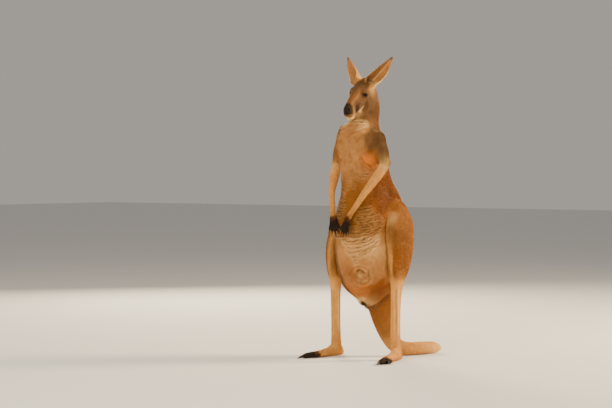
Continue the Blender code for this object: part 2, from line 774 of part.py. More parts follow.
def paint(objects):
    """Gives every piece its own material."""
    rust, sand, cream = (0.42, 0.20, 0.08), (0.50, 0.30, 0.15), (0.62, 0.44, 0.27)
    dark, horn, glossy = (0.035, 0.018, 0.010), (0.020, 0.016, 0.014), (0.012, 0.006, 0.004)
    colours = {
        "head": sand, "neck": sand, "trunk": rust, "tail": sand, "upper": sand, "forearm": cream,
        "hand": dark, "thigh": sand, "shank": cream, "foot": sand, "ear": sand, "eye": glossy,
    }
    for made in objects:
        claw = "claw" in made.name
        colour = horn if claw else colours[made.name.split("_")[0]]
        roughness = 0.35 if claw else 0.06 if made.name.startswith("eye") else 0.9
        made.data.materials.clear()
        made.data.materials.append(material(f"{made.name}_finish", colour, roughness))


def centre_on_floor(objects):
    """Moves the model so that the bottom centre of its box is the origin."""
    corners = np.array([v.co for made in objects for v in made.data.vertices])
    low, high = corners.min(0), corners.max(0)
    shift = Matrix.Translation((-(low[0] + high[0]) / 2, -(low[1] + high[1]) / 2, -low[2]))
    for made in objects:
        made.data.transform(shift)


def main():
    """Builds the model."""
    for old in list(bpy.data.objects):
        bpy.data.objects.remove(old)
    flesh = level_floor(thinned(build_flesh(), 60000))
    pieces = part_flesh(flesh)
    objects = list(pieces.values())
    for side, name in SIDES.items():
        eye = build_eye(side)
        cut_away(pieces["head"], [eye], GAP)
        ear = build_ear(side)
        ear = largest_body(cut_away(thinned(ear, 330), [pieces["head"]], GAP))
        claws = []
        for claw in build_hand_claws(side) + build_toe_claws(side):
            limb = "hand" if claw.name.startswith("hand") else "foot"
            cut = cut_away(claw, [pieces[f"{limb}_{name}"]], GAP)
            claws.append(without_slivers(largest_body(cut), SLIVERS[1]))
        objects += [eye, ear, *claws]
    centre_on_floor(objects)
    paint(objects)
    for made in objects:
        made.data.shade_smooth()
        made.data.set_sharp_from_angle(angle=math.radians(50))


main()
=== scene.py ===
"""Looks of the red kangaroo: one skin, its short coat in tufts, eyes, claws and a plain studio."""

import json
import logging
import math
from dataclasses import dataclass, field
from enum import Enum

import bmesh
import bpy
import numpy as np
from mathutils import Matrix, Vector
from mathutils.bvhtree import BVHTree

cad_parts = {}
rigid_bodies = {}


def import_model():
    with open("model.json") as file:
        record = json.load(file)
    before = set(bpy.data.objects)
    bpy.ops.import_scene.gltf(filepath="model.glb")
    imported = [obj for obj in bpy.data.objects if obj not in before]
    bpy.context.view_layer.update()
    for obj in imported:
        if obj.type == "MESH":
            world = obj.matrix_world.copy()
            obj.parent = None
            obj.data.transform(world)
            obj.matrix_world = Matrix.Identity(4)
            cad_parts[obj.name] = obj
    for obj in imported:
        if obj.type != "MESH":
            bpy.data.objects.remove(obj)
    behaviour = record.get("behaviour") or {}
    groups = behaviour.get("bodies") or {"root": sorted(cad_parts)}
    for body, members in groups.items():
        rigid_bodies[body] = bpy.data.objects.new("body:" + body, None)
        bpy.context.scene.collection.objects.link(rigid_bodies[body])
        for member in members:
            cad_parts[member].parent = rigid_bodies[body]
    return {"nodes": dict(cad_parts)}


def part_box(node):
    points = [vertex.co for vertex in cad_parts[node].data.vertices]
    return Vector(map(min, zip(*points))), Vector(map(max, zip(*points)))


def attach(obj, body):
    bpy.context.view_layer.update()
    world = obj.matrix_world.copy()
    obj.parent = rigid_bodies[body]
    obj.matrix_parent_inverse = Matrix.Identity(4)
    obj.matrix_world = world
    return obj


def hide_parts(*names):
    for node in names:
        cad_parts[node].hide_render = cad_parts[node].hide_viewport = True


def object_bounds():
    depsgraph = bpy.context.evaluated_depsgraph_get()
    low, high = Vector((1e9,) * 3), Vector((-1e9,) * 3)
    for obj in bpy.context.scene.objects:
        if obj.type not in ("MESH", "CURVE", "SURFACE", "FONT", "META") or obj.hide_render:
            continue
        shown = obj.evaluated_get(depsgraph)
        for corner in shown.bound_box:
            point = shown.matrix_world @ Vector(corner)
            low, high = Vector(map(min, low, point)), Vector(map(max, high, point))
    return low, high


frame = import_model()
CAD_BOX = [list(corner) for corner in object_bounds()]

logging.basicConfig(level=logging.INFO, format="%(message)s")
log = logging.getLogger("kangaroo")
PAINT = "coat_paint"  # the colour layer that skin and coat share
LOWEST = CAD_BOX[0][2] + 0.0002  # skin and tufts stay just above the ground
SAME_PLACE = 1e-5  # points nearer than this are one
WAVES = 9  # sine waves that add up to one noise


# ---------------------------------------------------------------- numbers over the surface
def ramp(value: np.ndarray, low: float, high: float) -> np.ndarray:
    """Smooth step from 0 at low to 1 at high; low may be the larger.

    Args:
        value: numbers of any shape.
        low: where the result is 0.
        high: where the result is 1.

    Returns:
        The eased share, from 0 to 1.
    """
    share = np.clip((value - low) / (high - low), 0.0, 1.0)
    return share * share * (3.0 - 2.0 * share)


def hill(value: np.ndarray, middle: float, width: float) -> np.ndarray:
    """A soft hump of height 1 at the middle value."""
    return np.exp(-(((value - middle) / width) ** 2))


def patch(points: np.ndarray, middle: tuple, reach: tuple | float) -> np.ndarray:
    """A soft round spot: 1 at its middle, 0.37 at its reach.

    Args:
        points: places, one row each.
        middle: the spot's middle.
        reach: its radius, or its three half axes.

    Returns:
        The spot's strength at each point.
    """
    away = (points - np.array(middle)) / np.array(reach)
    return np.exp(-(away**2).sum(1))


def ripple(points: np.ndarray, size: float, seed: int) -> np.ndarray:
    """Smooth seeded noise, mostly within -1 and 1.

    Args:
        points: places, one row each.
        size: the usual distance from one crest to the next.
        seed: picks the pattern.

    Returns:
        The noise at each point.
    """
    source = np.random.default_rng(seed)
    total = np.zeros(len(points))
    for _ in range(WAVES):
        aim = source.normal(size=3)
        aim *= 2 * math.pi / size * source.uniform(0.6, 1.5) / np.linalg.norm(aim)
        total += np.sin(points @ aim + source.uniform(0, 2 * math.pi))
    return total / math.sqrt(WAVES)


def smoothed(values: np.ndarray) -> np.ndarray:
    """A row of numbers, each eased towards its neighbours."""
    return np.convolve(np.pad(values, 2, "edge"), (0.1, 0.2, 0.4, 0.2, 0.1), "valid")


def unit(rows: np.ndarray) -> np.ndarray:
    """Each row at length 1."""
    return rows / np.maximum(np.linalg.norm(rows, axis=1, keepdims=True), 1e-9)


def linear(shade: tuple) -> np.ndarray:
    """A colour from 0-255 display values to linear light."""
    share = np.array(shade, float) / 255.0
    return np.where(share <= 0.04045, share / 12.92, ((share + 0.055) / 1.055) ** 2.4)


def along_line(points: np.ndarray, line: list | tuple) -> tuple[np.ndarray, np.ndarray]:
    """Distance to a line of points, and how far along it the nearest place is.

    Args:
        points: places, one row each.
        line: two or more points.

    Returns:
        The distance, and the share of the line's length, from 0 to 1.
    """
    corners = np.array(line, float)
    lengths = np.linalg.norm(np.diff(corners, axis=0), axis=1)
    starts = np.concatenate([[0.0], np.cumsum(lengths)])
    best = np.full(len(points), np.inf)
    share = np.zeros(len(points))
    for index, length in enumerate(lengths):
        step = corners[index + 1] - corners[index]
        local = np.clip((points - corners[index]) @ step / length**2, 0, 1)
        away = np.linalg.norm(points - corners[index] - local[:, None] * step, axis=1)
        nearer = away < best
        best[nearer] = away[nearer]
        share[nearer] = (starts[index] + local[nearer] * length) / starts[-1]
    return best, share


# ---------------------------------------------------------------- shaders
class Link:
    """A shader socket that takes part in plain arithmetic by adding Math nodes."""

    def __init__(self, tree: bpy.types.NodeTree, socket: bpy.types.NodeSocket) -> None:
        """Wraps an output socket of the tree."""
        self.tree = tree
        self.socket = socket

    def math(self, operation: str, *others: object, first: object = None) -> "Link":
        """Adds a Math node.

        Args:
            operation: the node's operation.
            others: the values or links after this one.
            first: a value that comes before this one, if any.

        Returns:
            The node's result.
        """
        node = self.tree.nodes.new("ShaderNodeMath")
        node.operation = operation
        inputs = [first, self, *others] if first is not None else [self, *others]
        for index, value in enumerate(inputs):
            if isinstance(value, Link):
                self.tree.links.new(value.socket, node.inputs[index])
            else:
                node.inputs[index].default_value = value
        return Link(self.tree, node.outputs[0])

    def __add__(self, other: object) -> "Link":
        """The sum."""
        return self.math("ADD", other)

    def __sub__(self, other: object) -> "Link":
        """The difference."""
        return self.math("SUBTRACT", other)

    def __rsub__(self, other: float) -> "Link":
        """A number less this value."""
        return self.math("SUBTRACT", first=other)

    def __mul__(self, other: object) -> "Link":
        """The product."""
        return self.math("MULTIPLY", other)

    __radd__ = __add__
    __rmul__ = __mul__


class Shader:
    """A material and the one way its nodes are made."""

    def __init__(self, name: str) -> None:
        """Makes an empty material with a Principled BSDF.

        Args:
            name: the material's name.
        """
        self.material = bpy.data.materials.new(name)
        self.material.use_nodes = True
        self.tree = self.material.node_tree
        self.surface = self.tree.nodes["Principled BSDF"]
        self.place = self.node("ShaderNodeTexCoord", {}, {}, "Object")

    def node(self, kind: str, settings: dict, values: dict, result: str | int = 0) -> Link:
        """Adds a node.

        Args:
            kind: the node's type.
            settings: its properties, set first; "stops" fills a colour ramp.
            values: values or links by socket name or index.
            result: the output wanted.

        Returns:
            The output as a link.
        """
        made = self.tree.nodes.new(kind)
        for key, value in settings.items():
            if key == "stops":
                for index, (at, shade) in enumerate(value):
                    stops = made.color_ramp.elements
                    stop = stops[index] if index < 2 else stops.new(at)
                    stop.position = at
                    stop.color = (*shade, 1.0)
            else:
                setattr(made, key, value)
        for key, value in values.items():
            if isinstance(value, Link):
                self.tree.links.new(value.socket, made.inputs[key])
            else:
                made.inputs[key].default_value = value
        return Link(self.tree, made.outputs[result])

    def noise(self, scale: float, stretch: tuple = (1, 1, 1), detail: float = 3.0) -> Link:
        """Noise on the object's own coordinates.

        Args:
            scale: crests for each metre.
            stretch: a scale for each axis.
            detail: octaves.

        Returns:
            The noise, about 0.5 on average.
        """
        at = self.node("ShaderNodeMapping", {}, {"Vector": self.place, "Scale": stretch})
        values = {"Vector": at, "Scale": scale, "Detail": detail}
        return self.node("ShaderNodeTexNoise", {}, values, "Fac")

    def mix(self, share: object, low: object, high: object, blend: str = "MIX") -> Link:
        """Mixes two colours.

        Args:
            share: the second colour's share.
            low: the first colour.
            high: the second colour.
            blend: how they mix.

        Returns:
            The mixed colour.
        """
        settings = {"data_type": "RGBA", "blend_type": blend}
        return self.node("ShaderNodeMix", settings, {0: share, 6: low, 7: high}, 2)

    def feed(self, socket: str, value: object) -> None:
        """Sets or links one of the surface's sockets.

        Args:
            socket: its name.
            value: a constant or a link.
        """
        if isinstance(value, Link):
            self.tree.links.new(value.socket, self.surface.inputs[socket])
        else:
            self.surface.inputs[socket].default_value = value

    def bump(self, height: Link, distance: float, strength: float) -> None:
        """Feeds the surface's normal with a bump.

        Args:
            height: the bump's height, 0 to 1.
            distance: the real height in metres.
            strength: how much of it shows.
        """
        values = {"Height": height, "Distance": distance, "Strength": strength}
        self.feed("Normal", self.node("ShaderNodeBump", {}, values, "Normal"))


@dataclass(frozen=True)
class CoatFinish:
    """Short hair whose colour is painted on the mesh, with fine streaks and a soft sheen."""

    name: str
    streak: float = 0.20
    bump_height: float = 0.0007
    roughness: float = 0.68
    gloss: float = 0.14
    sheen: float = 0.07
    sheen_tint: tuple = (1.0, 0.86, 0.68, 1.0)

    def make(self) -> bpy.types.Material:
        """Makes the material.

        Returns:
            The material.
        """
        shader = Shader(self.name)
        painted = shader.node("ShaderNodeAttribute", {"attribute_name": PAINT}, {}, "Color")
        hairs = shader.noise(420.0, (1.0, 1.0, 0.22), 4.0)
        clumps = shader.noise(70.0, (1.0, 1.0, 0.45), 3.0)
        light = (hairs - 0.5) * (2.0 * self.streak) + (clumps - 0.5) * (0.5 * self.streak) + 1.0
        tone = shader.node("ShaderNodeCombineColor", {}, {0: light, 1: light, 2: light}, "Color")
        shader.feed("Base Color", shader.mix(1.0, painted, tone, "MULTIPLY"))
        shader.feed("Roughness", (hairs - 0.5) * 0.3 + self.roughness)
        shader.feed("Specular IOR Level", self.gloss)
        shader.feed("Sheen Weight", self.sheen)
        shader.feed("Sheen Roughness", 0.5)
        shader.feed("Sheen Tint", self.sheen_tint)
        if self.bump_height:
            shader.bump(hairs * 0.8 + clumps * 0.25, self.bump_height, 0.7)
        return shader.material


@dataclass(frozen=True)
class HornFinish:
    """Dark claw horn with lengthwise streaks, paler and duller where it has worn."""

    name: str = "claw_horn"
    dark: tuple = (16, 10, 7)
    pale: tuple = (44, 30, 20)
    roughness: float = 0.42

    def make(self) -> bpy.types.Material:
        """Makes the material.

        Returns:
            The material.
        """
        shader = Shader(self.name)
        grain = shader.noise(260.0, (1.0, 1.0, 0.3), 5.0)
        stops = [(0.3, tuple(linear(self.dark))), (0.7, tuple(linear(self.pale)))]
        colour = shader.node("ShaderNodeValToRGB", {"stops": stops}, {"Fac": grain}, "Color")
        shader.feed("Base Color", colour)
        shader.feed("Roughness", grain * 0.3 + self.roughness)
        shader.feed("Specular IOR Level", 0.25)
        shader.bump(grain, 0.0003, 0.5)
        return shader.material


@dataclass(frozen=True)
class EyeFinish:
    """A wet, very dark brown eye under a clear coat."""

    name: str = "wet_eye"
    dark: tuple = (4, 2, 1)
    brown: tuple = (18, 9, 4)
    roughness: float = 0.30
    clear_coat: float = 0.16

    def make(self) -> bpy.types.Material:
        """Makes the material.

        Returns:
            The material.
        """
        shader = Shader(self.name)
        cloud = shader.noise(160.0, (1, 1, 1), 3.0)
        stops = [(0.35, tuple(linear(self.dark))), (0.75, tuple(linear(self.brown)))]
        colour = shader.node("ShaderNodeValToRGB", {"stops": stops}, {"Fac": cloud}, "Color")
        shader.feed("Base Color", colour)
        shader.feed("Roughness", cloud * 0.05 + self.roughness)
        shader.feed("Specular IOR Level", 0.12)
        shader.feed("Coat Weight", self.clear_coat)
        shader.feed("Coat Roughness", 0.06)
        return shader.material


@dataclass(frozen=True)
class FloorFinish:
    """Matt pale studio floor."""

    name: str = "studio_floor"

    def make(self) -> bpy.types.Material:
        """Makes the material.

        Returns:
            The material.
        """
        shader = Shader(self.name)
        tone = shader.noise(3.0) * 0.02 + 0.72
        colour = {0: tone, 1: tone, 2: tone}
        shader.feed("Base Color", shader.node("ShaderNodeCombineColor", {}, colour, "Color"))
        shader.feed("Roughness", 0.9)
        return shader.material



# ---------------------------------------------------------------- scene helpers
def deselect() -> None:
    """Leaves nothing selected and nothing active."""
    for item in bpy.data.objects:
        item.select_set(False)
    bpy.context.view_layer.objects.active = None


def choose(item: bpy.types.Object) -> bpy.types.Object:
    """Makes an object the only selected and the active one.

    Args:
        item: the object.

    Returns:
        The same object.
    """
    deselect()
    item.select_set(True)
    bpy.context.view_layer.objects.active = item
    return item


def points_of(mesh: bpy.types.Mesh) -> np.ndarray:
    """Reads a mesh's points.

    Args:
        mesh: the mesh.

    Returns:
        Their places, one row each.
    """
    found = np.empty(len(mesh.vertices) * 3)
    mesh.vertices.foreach_get("co", found)
    return found.reshape(-1, 3)


def normals_of(mesh: bpy.types.Mesh) -> np.ndarray:
    """Reads a mesh's normals.

    Args:
        mesh: the mesh.

    Returns:
        The normal at each point, one row each.
    """
    found = np.empty(len(mesh.vertices) * 3)
    mesh.vertex_normals.foreach_get("vector", found)
    return found.reshape(-1, 3)


def move_points(mesh: bpy.types.Mesh, points: np.ndarray) -> None:
    """Puts the mesh's points at new places."""
    mesh.vertices.foreach_set("co", points.astype(np.float32).ravel())
    mesh.update()


def corners_of(mesh: bpy.types.Mesh) -> np.ndarray:
    """Reads the corners of a mesh of triangles.

    Args:
        mesh: the mesh.

    Returns:
        Three point indices for each triangle, one row each.
    """
    found = np.empty(len(mesh.polygons) * 3, np.int64)
    mesh.polygons.foreach_get("vertices", found)
    return found.reshape(-1, 3)


def mesh_from(name: str, points: np.ndarray, triangles: np.ndarray) -> bpy.types.Mesh:
    """A mesh of triangles.

    Args:
        name: the mesh's name.
        points: places, one row each.
        triangles: three corner indices a row.

    Returns:
        The mesh.
    """
    mesh = bpy.data.meshes.new(name)
    mesh.vertices.add(len(points))
    mesh.loops.add(triangles.size)
    mesh.polygons.add(len(triangles))
    mesh.vertices.foreach_set("co", points.astype(np.float32).ravel())
    mesh.loops.foreach_set("vertex_index", triangles.astype(np.int32).ravel())
    mesh.polygons.foreach_set("loop_start", np.arange(0, triangles.size, 3, dtype=np.int32))
    mesh.polygons.foreach_set("use_smooth", np.ones(len(triangles), bool))
    mesh.update(calc_edges=True)
    return mesh


def shown(name: str, mesh: bpy.types.Mesh, material: bpy.types.Material) -> bpy.types.Object:
    """Puts a mesh in the scene as a finished piece that rides on the body.

    Args:
        name: the piece's name.
        mesh: its mesh, in place.
        material: its finish.

    Returns:
        The new object.
    """
    piece = bpy.data.objects.new(name, mesh)
    bpy.context.scene.collection.objects.link(piece)
    mesh.materials.clear()
    mesh.materials.append(material)
    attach(piece, "root")
    return piece


def work(piece: bpy.types.Object, kind: str, **settings: object) -> None:
    """Adds a modifier and applies it.

    Args:
        piece: the object.
        kind: the modifier's type.
        settings: its properties.
    """
    choose(piece)
    modifier = piece.modifiers.new(kind.lower(), kind)
    for key, value in settings.items():
        setattr(modifier, key, value)
    bpy.ops.object.modifier_apply(modifier=modifier.name)


# ---------------------------------------------------------------- anatomy
class Side(Enum):
    """The animal's own two sides, as signs along X."""

    LEFT = 1
    RIGHT = -1

    @property
    def word(self) -> str:
        """The side's name in node names."""
        return self.name.lower()


PAIRED = ("upper_arm", "forearm", "hand", "thigh", "shank", "foot", "ear")
SINGLE = ("head", "neck", "trunk", "tail_root", "tail_middle", "tail_end")


@dataclass
class Anatomy:
    """Where the body's parts are, measured on the solids, and how each part runs."""

    head_yaw: float = math.radians(4)
    head_pitch: float = math.radians(27)
    head_roll: float = math.radians(7)
    eye_back: float = -0.004
    meeting: float = 0.003
    spread_each: int = 24
    head: Matrix = None
    flesh: list = field(default_factory=list)
    clouds: dict = field(default_factory=dict)
    trees: dict = field(default_factory=dict)
    lines: dict = field(default_factory=dict)
    whole: BVHTree = None
    face_owner: np.ndarray = None

    def measure(self) -> None:
        """Reads the solids' points and works out the line each part runs along."""
        self.flesh = [*SINGLE, *(f"{part}_{side.word}" for part in PAIRED for side in Side)]
        all_points, all_faces, face_owner, count = [], [], [], 0
        for index, name in enumerate(self.flesh):
            mesh = frame["nodes"][name].data
            faces = [list(polygon.vertices) for polygon in mesh.polygons]
            self.clouds[name] = points_of(mesh)
            self.trees[name] = BVHTree.FromPolygons(self.clouds[name].tolist(), faces)
            all_points += self.clouds[name].tolist()
            all_faces += [[corner + count for corner in face] for face in faces]
            face_owner += [index] * len(faces)
            count = len(all_points)
        self.whole = BVHTree.FromPolygons(all_points, all_faces)
        self.face_owner = np.array(face_owner)
        self.head = self.head_frame()
        self.lines["neck"] = [self.joint("trunk", "neck"), self.joint("neck", "head")]
        self.lines["head"] = [self.in_head((0, -0.150, -0.03)), self.joint("head", "neck")]
        self.lines["trunk"] = [self.joint("trunk", "neck"), self.joint("trunk", "tail_root")]
        self.follow("trunk", "tail_root", "tail_middle", "tail_end")
        for side in Side:
            self.follow("trunk", *(f"{part}_{side.word}" for part in ("upper_arm", "forearm", "hand")))
            self.follow("trunk", *(f"{part}_{side.word}" for part in ("thigh", "shank", "foot")))
            ear = f"ear_{side.word}"
            self.lines[ear] = [self.joint(ear, "head"), self.far_end(ear, "head")]

    def follow(self, *parts: str) -> None:
        """Works out the lines of parts that hang on each other, each from joint to joint.

        Args:
            parts: what the chain hangs on, then its parts in order.
        """
        for before, part, after in zip(parts, parts[1:], [*parts[2:], None]):
            end = self.joint(part, after) if after else self.far_end(part, before)
            self.lines[part] = [self.joint(before, part), end]

    def spread(self, name: str) -> np.ndarray:
        """Places spread over a part's own triangles, thick enough to show its outline.

        Args:
            name: the part.

        Returns:
            The places, one row each.
        """
        corners = corners_of(frame["nodes"][name].data)
        weights = np.random.default_rng(5).dirichlet((1, 1, 1), (self.spread_each, len(corners)))
        return (self.clouds[name][corners] * weights[..., None]).sum(2).reshape(-1, 3)

    def joint(self, part: str, other: str) -> np.ndarray:
        """The middle of the place where one part meets another.

        Args:
            part: the part whose points are used.
            other: the part that it meets.

        Returns:
            The place.
        """
        tree = self.trees[other]
        near = [p for p in self.clouds[part].tolist() if tree.find_nearest(p)[3] < self.meeting]
        return np.mean(near, axis=0)

    def far_end(self, part: str, other: str) -> np.ndarray:
        """The part's end away from the other part."""
        away = np.linalg.norm(self.clouds[part] - self.joint(part, other), axis=1)
        return self.clouds[part][away > np.quantile(away, 0.96)].mean(0)

    def head_frame(self) -> Matrix:
        """The head's own axes: -Y to the nose, +Z to the crown, from between the eyes.

        Returns:
            The matrix from the head's axes to the body's.
        """
        eyes = [sum(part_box(f"eye_{side.word}"), Vector()) / 2 for side in Side]
        turn = (
            Matrix.Rotation(self.head_yaw, 4, "Z")
            @ Matrix.Rotation(self.head_pitch, 4, "X")
            @ Matrix.Rotation(self.head_roll, 4, "Y")
        )
        middle = (eyes[0] + eyes[1]) / 2 - turn @ Vector((0, self.eye_back, 0.001))
        return Matrix.Translation(middle) @ turn

    def in_head(self, place: tuple) -> np.ndarray:
        """A place given in the head's own axes, in the body's."""
        return np.array(self.head @ Vector(place))

    def to_head(self, points: np.ndarray) -> np.ndarray:
        """Points in the head's own axes."""
        back = np.array(self.head.inverted())
        return points @ back[:3, :3].T + back[:3, 3]

    def owners(self, points: np.ndarray) -> np.ndarray:
        """The index in flesh of the part that each point is nearest to."""
        find = self.whole.find_nearest
        return self.face_owner[[find(point)[2] for point in points.tolist()]]


@dataclass
class Neighbours:
    """Which points of a mesh share an edge, for averaging over the surface."""

    mesh: bpy.types.Mesh
    first: np.ndarray = None
    others: np.ndarray = None
    counts: np.ndarray = None

    def __post_init__(self) -> None:
        """Sorts the edges by their first point."""
        edges = np.empty(len(self.mesh.edges) * 2, np.int64)
        self.mesh.edges.foreach_get("vertices", edges)
        edges = edges.reshape(-1, 2)
        both = np.concatenate([edges, edges[:, ::-1]])
        both = both[np.argsort(both[:, 0], kind="stable")]
        self.others = both[:, 1]
        self.counts = np.bincount(both[:, 0], minlength=len(self.mesh.vertices))
        self.first = np.concatenate([[0], np.cumsum(self.counts)[:-1]])

    def average(self, values: np.ndarray, rounds: int) -> np.ndarray:
        """Values evened out over the surface.

        Args:
            values: a number or a row for each point.
            rounds: how many times each point takes its neighbours' mean.

        Returns:
            The evened values.
        """
        counts = np.maximum(self.counts, 1).reshape(-1, *([1] * (values.ndim - 1)))
        for _ in range(rounds):
            around = np.add.reduceat(values[self.others], self.first, axis=0) / counts
            values = 0.4 * values + 0.6 * around
        return values


# ---------------------------------------------------------------- the skin's relief
MIDDLE_X = -0.014  # the body's middle plane
STEADY = 0.0003  # how little the lines of bone and tendon stray

# The courses of folds, wrinkles and grooves over the body, as places in metres.
BELLY_WRINKLES = (
    ((-0.102, -0.222, 0.849), (-0.052, -0.254, 0.842)),
    ((-0.098, -0.225, 0.836), (-0.068, -0.251, 0.831), (-0.033, -0.263, 0.825)),
    ((-0.102, -0.232, 0.819), (-0.062, -0.259, 0.812)),
    ((-0.098, -0.238, 0.802), (-0.059, -0.264, 0.799), (-0.027, -0.271, 0.800)),
    ((-0.100, -0.245, 0.790), (-0.065, -0.264, 0.786), (-0.032, -0.273, 0.786)),
    ((-0.103, -0.246, 0.775), (-0.081, -0.260, 0.772), (-0.052, -0.273, 0.770)),
    ((-0.104, -0.248, 0.760), (-0.079, -0.263, 0.756), (-0.058, -0.274, 0.748)),
    ((-0.072, -0.236, 0.893), (-0.040, -0.253, 0.884)),
    ((-0.075, -0.240, 0.872), (-0.045, -0.253, 0.860)),
    ((0.040, -0.257, 0.811), (0.064, -0.242, 0.811), (0.087, -0.220, 0.816), (0.101, -0.202, 0.822)),
    ((0.043, -0.259, 0.792), (0.070, -0.242, 0.795), (0.093, -0.219, 0.800), (0.110, -0.196, 0.808)),
    ((0.031, -0.270, 0.771), (0.061, -0.256, 0.769), (0.086, -0.236, 0.771), (0.118, -0.188, 0.789)),
    ((0.032, -0.271, 0.755), (0.087, -0.237, 0.755), (0.104, -0.216, 0.763), (0.135, -0.156, 0.776)),
    ((0.043, -0.268, 0.742), (0.067, -0.256, 0.739), (0.108, -0.212, 0.752), (0.141, -0.146, 0.765)),
    ((0.049, -0.268, 0.726), (0.072, -0.253, 0.723), (0.113, -0.209, 0.736), (0.144, -0.142, 0.751)),
    ((0.000, -0.281, 0.708), (0.064, -0.261, 0.710), (0.107, -0.219, 0.723), (0.143, -0.149, 0.741)),
    ((0.056, -0.267, 0.697), (0.077, -0.252, 0.698), (0.117, -0.206, 0.715), (0.146, -0.144, 0.733)),
    ((-0.010, -0.285, 0.684), (0.056, -0.268, 0.683), (0.108, -0.221, 0.697), (0.144, -0.151, 0.719)),
    ((-0.020, -0.287, 0.668), (0.057, -0.270, 0.663), (0.104, -0.225, 0.681), (0.142, -0.158, 0.712)),
    ((0.066, -0.264, 0.654), (0.090, -0.242, 0.659), (0.124, -0.197, 0.680), (0.137, -0.170, 0.698)),
)
HANGING_FOLDS = (
    ((-0.049, -0.286, 0.652), (-0.020, -0.291, 0.642), (0.038, -0.279, 0.639), (0.101, -0.229, 0.657)),
    (
        (-0.034, -0.289, 0.631), (-0.007, -0.290, 0.616), (0.016, -0.285, 0.603), (0.037, -0.278, 0.602),
        (0.082, -0.249, 0.614), (0.100, -0.229, 0.622), (0.117, -0.206, 0.640), (0.131, -0.180, 0.664),
    ),
    ((0.028, -0.284, 0.623), (0.052, -0.272, 0.625), (0.101, -0.229, 0.643), (0.118, -0.207, 0.659)),
    (
        (-0.022, -0.287, 0.591), (-0.003, -0.286, 0.581), (0.025, -0.280, 0.576), (0.045, -0.271, 0.579),
        (0.085, -0.244, 0.595), (0.103, -0.223, 0.606), (0.120, -0.201, 0.624), (0.133, -0.173, 0.647),
    ),
    ((0.054, -0.264, 0.563), (0.080, -0.246, 0.582), (0.109, -0.214, 0.601), (0.125, -0.189, 0.618)),
    ((0.062, -0.258, 0.555), (0.075, -0.248, 0.566), (0.091, -0.235, 0.576), (0.109, -0.213, 0.592)),
    ((0.024, -0.278, 0.557), (0.043, -0.268, 0.555), (0.057, -0.260, 0.547)),
    ((0.028, -0.274, 0.541), (0.047, -0.264, 0.536)),
    ((0.031, -0.269, 0.525), (0.045, -0.261, 0.520)),
)
COLLAR_FOLDS = (
    ((-0.123, -0.184, 1.250), (-0.096, -0.185, 1.263), (-0.063, -0.184, 1.277), (-0.041, -0.187, 1.286)),
    ((0.010, -0.213, 1.242), (0.026, -0.198, 1.253), (0.036, -0.183, 1.263), (0.046, -0.161, 1.269)),
    ((-0.038, -0.191, 1.282), (0.000, -0.189, 1.282), (0.029, -0.175, 1.279), (0.042, -0.155, 1.281)),
)
ARMPIT_FOLD = ((0.048, -0.238, 1.092), (0.064, -0.224, 1.065), (0.080, -0.200, 1.049), (0.089, -0.185, 1.033))
BREAST_LINES = (
    ((0.053, -0.236, 1.044), (0.071, -0.215, 1.033)),
    ((0.026, -0.253, 1.017), (0.057, -0.233, 1.017), (0.081, -0.202, 1.012)),
    ((0.049, -0.239, 1.001), (0.078, -0.206, 0.995)),
    ((0.030, -0.246, 0.986), (0.066, -0.220, 0.982)),
    ((-0.031, -0.257, 0.968), (0.014, -0.255, 0.974), (0.047, -0.237, 0.969)),
    ((-0.041, -0.252, 0.947), (0.006, -0.253, 0.942), (0.037, -0.242, 0.947)),
    ((-0.060, -0.246, 0.925), (-0.010, -0.252, 0.922), (0.030, -0.244, 0.926)),
)
SHANK_GROOVES = (
    ((0.204, -0.121, 0.400), (0.205, -0.121, 0.299), (0.206, -0.122, 0.219), (0.207, -0.123, 0.120)),
    ((0.180, -0.130, 0.380), (0.183, -0.133, 0.250), (0.188, -0.135, 0.125)),
    ((-0.197, -0.136, 0.380), (-0.198, -0.134, 0.281), (-0.197, -0.130, 0.150), (-0.196, -0.129, 0.115)),
    ((-0.218, -0.133, 0.380), (-0.219, -0.130, 0.250), (-0.218, -0.126, 0.120)),
)
SHANK_TENDONS = (
    ((0.211, -0.107, 0.400), (0.210, -0.105, 0.298), (0.211, -0.105, 0.218), (0.211, -0.106, 0.120)),
    ((0.191, -0.134, 0.380), (0.193, -0.136, 0.250), (0.198, -0.137, 0.125)),
    ((-0.184, -0.113, 0.380), (-0.185, -0.107, 0.280), (-0.185, -0.106, 0.198), (-0.183, -0.100, 0.115)),
    ((-0.225, -0.120, 0.380), (-0.225, -0.124, 0.115)),
)
POUCH_LIP = ((0.035, -0.252, 0.476), (0.049, -0.249, 0.485), (0.062, -0.239, 0.479), (0.068, -0.228, 0.466))
POUCH_ARCS = (
    ((0.034, -0.226, 0.424), (0.053, -0.216, 0.421)),
    ((-0.051, -0.256, 0.473), (-0.039, -0.246, 0.446), (-0.024, -0.238, 0.428)),
    ((0.089, -0.221, 0.498), (0.089, -0.212, 0.471), (0.083, -0.204, 0.443)),
)


def mirrored(lines: tuple) -> tuple:
    """Lines on the other side of the body's middle plane."""
    return tuple(tuple((2 * MIDDLE_X - x, y, z) for x, y, z in line) for line in lines)


WRINKLES = BELLY_WRINKLES + mirrored(BELLY_WRINKLES[9:])  # the left flank's lie on both sides
BREAST_ARCS = BREAST_LINES + mirrored(BREAST_LINES[:4])
ARMPIT_FOLDS = (ARMPIT_FOLD, *mirrored((ARMPIT_FOLD,)))


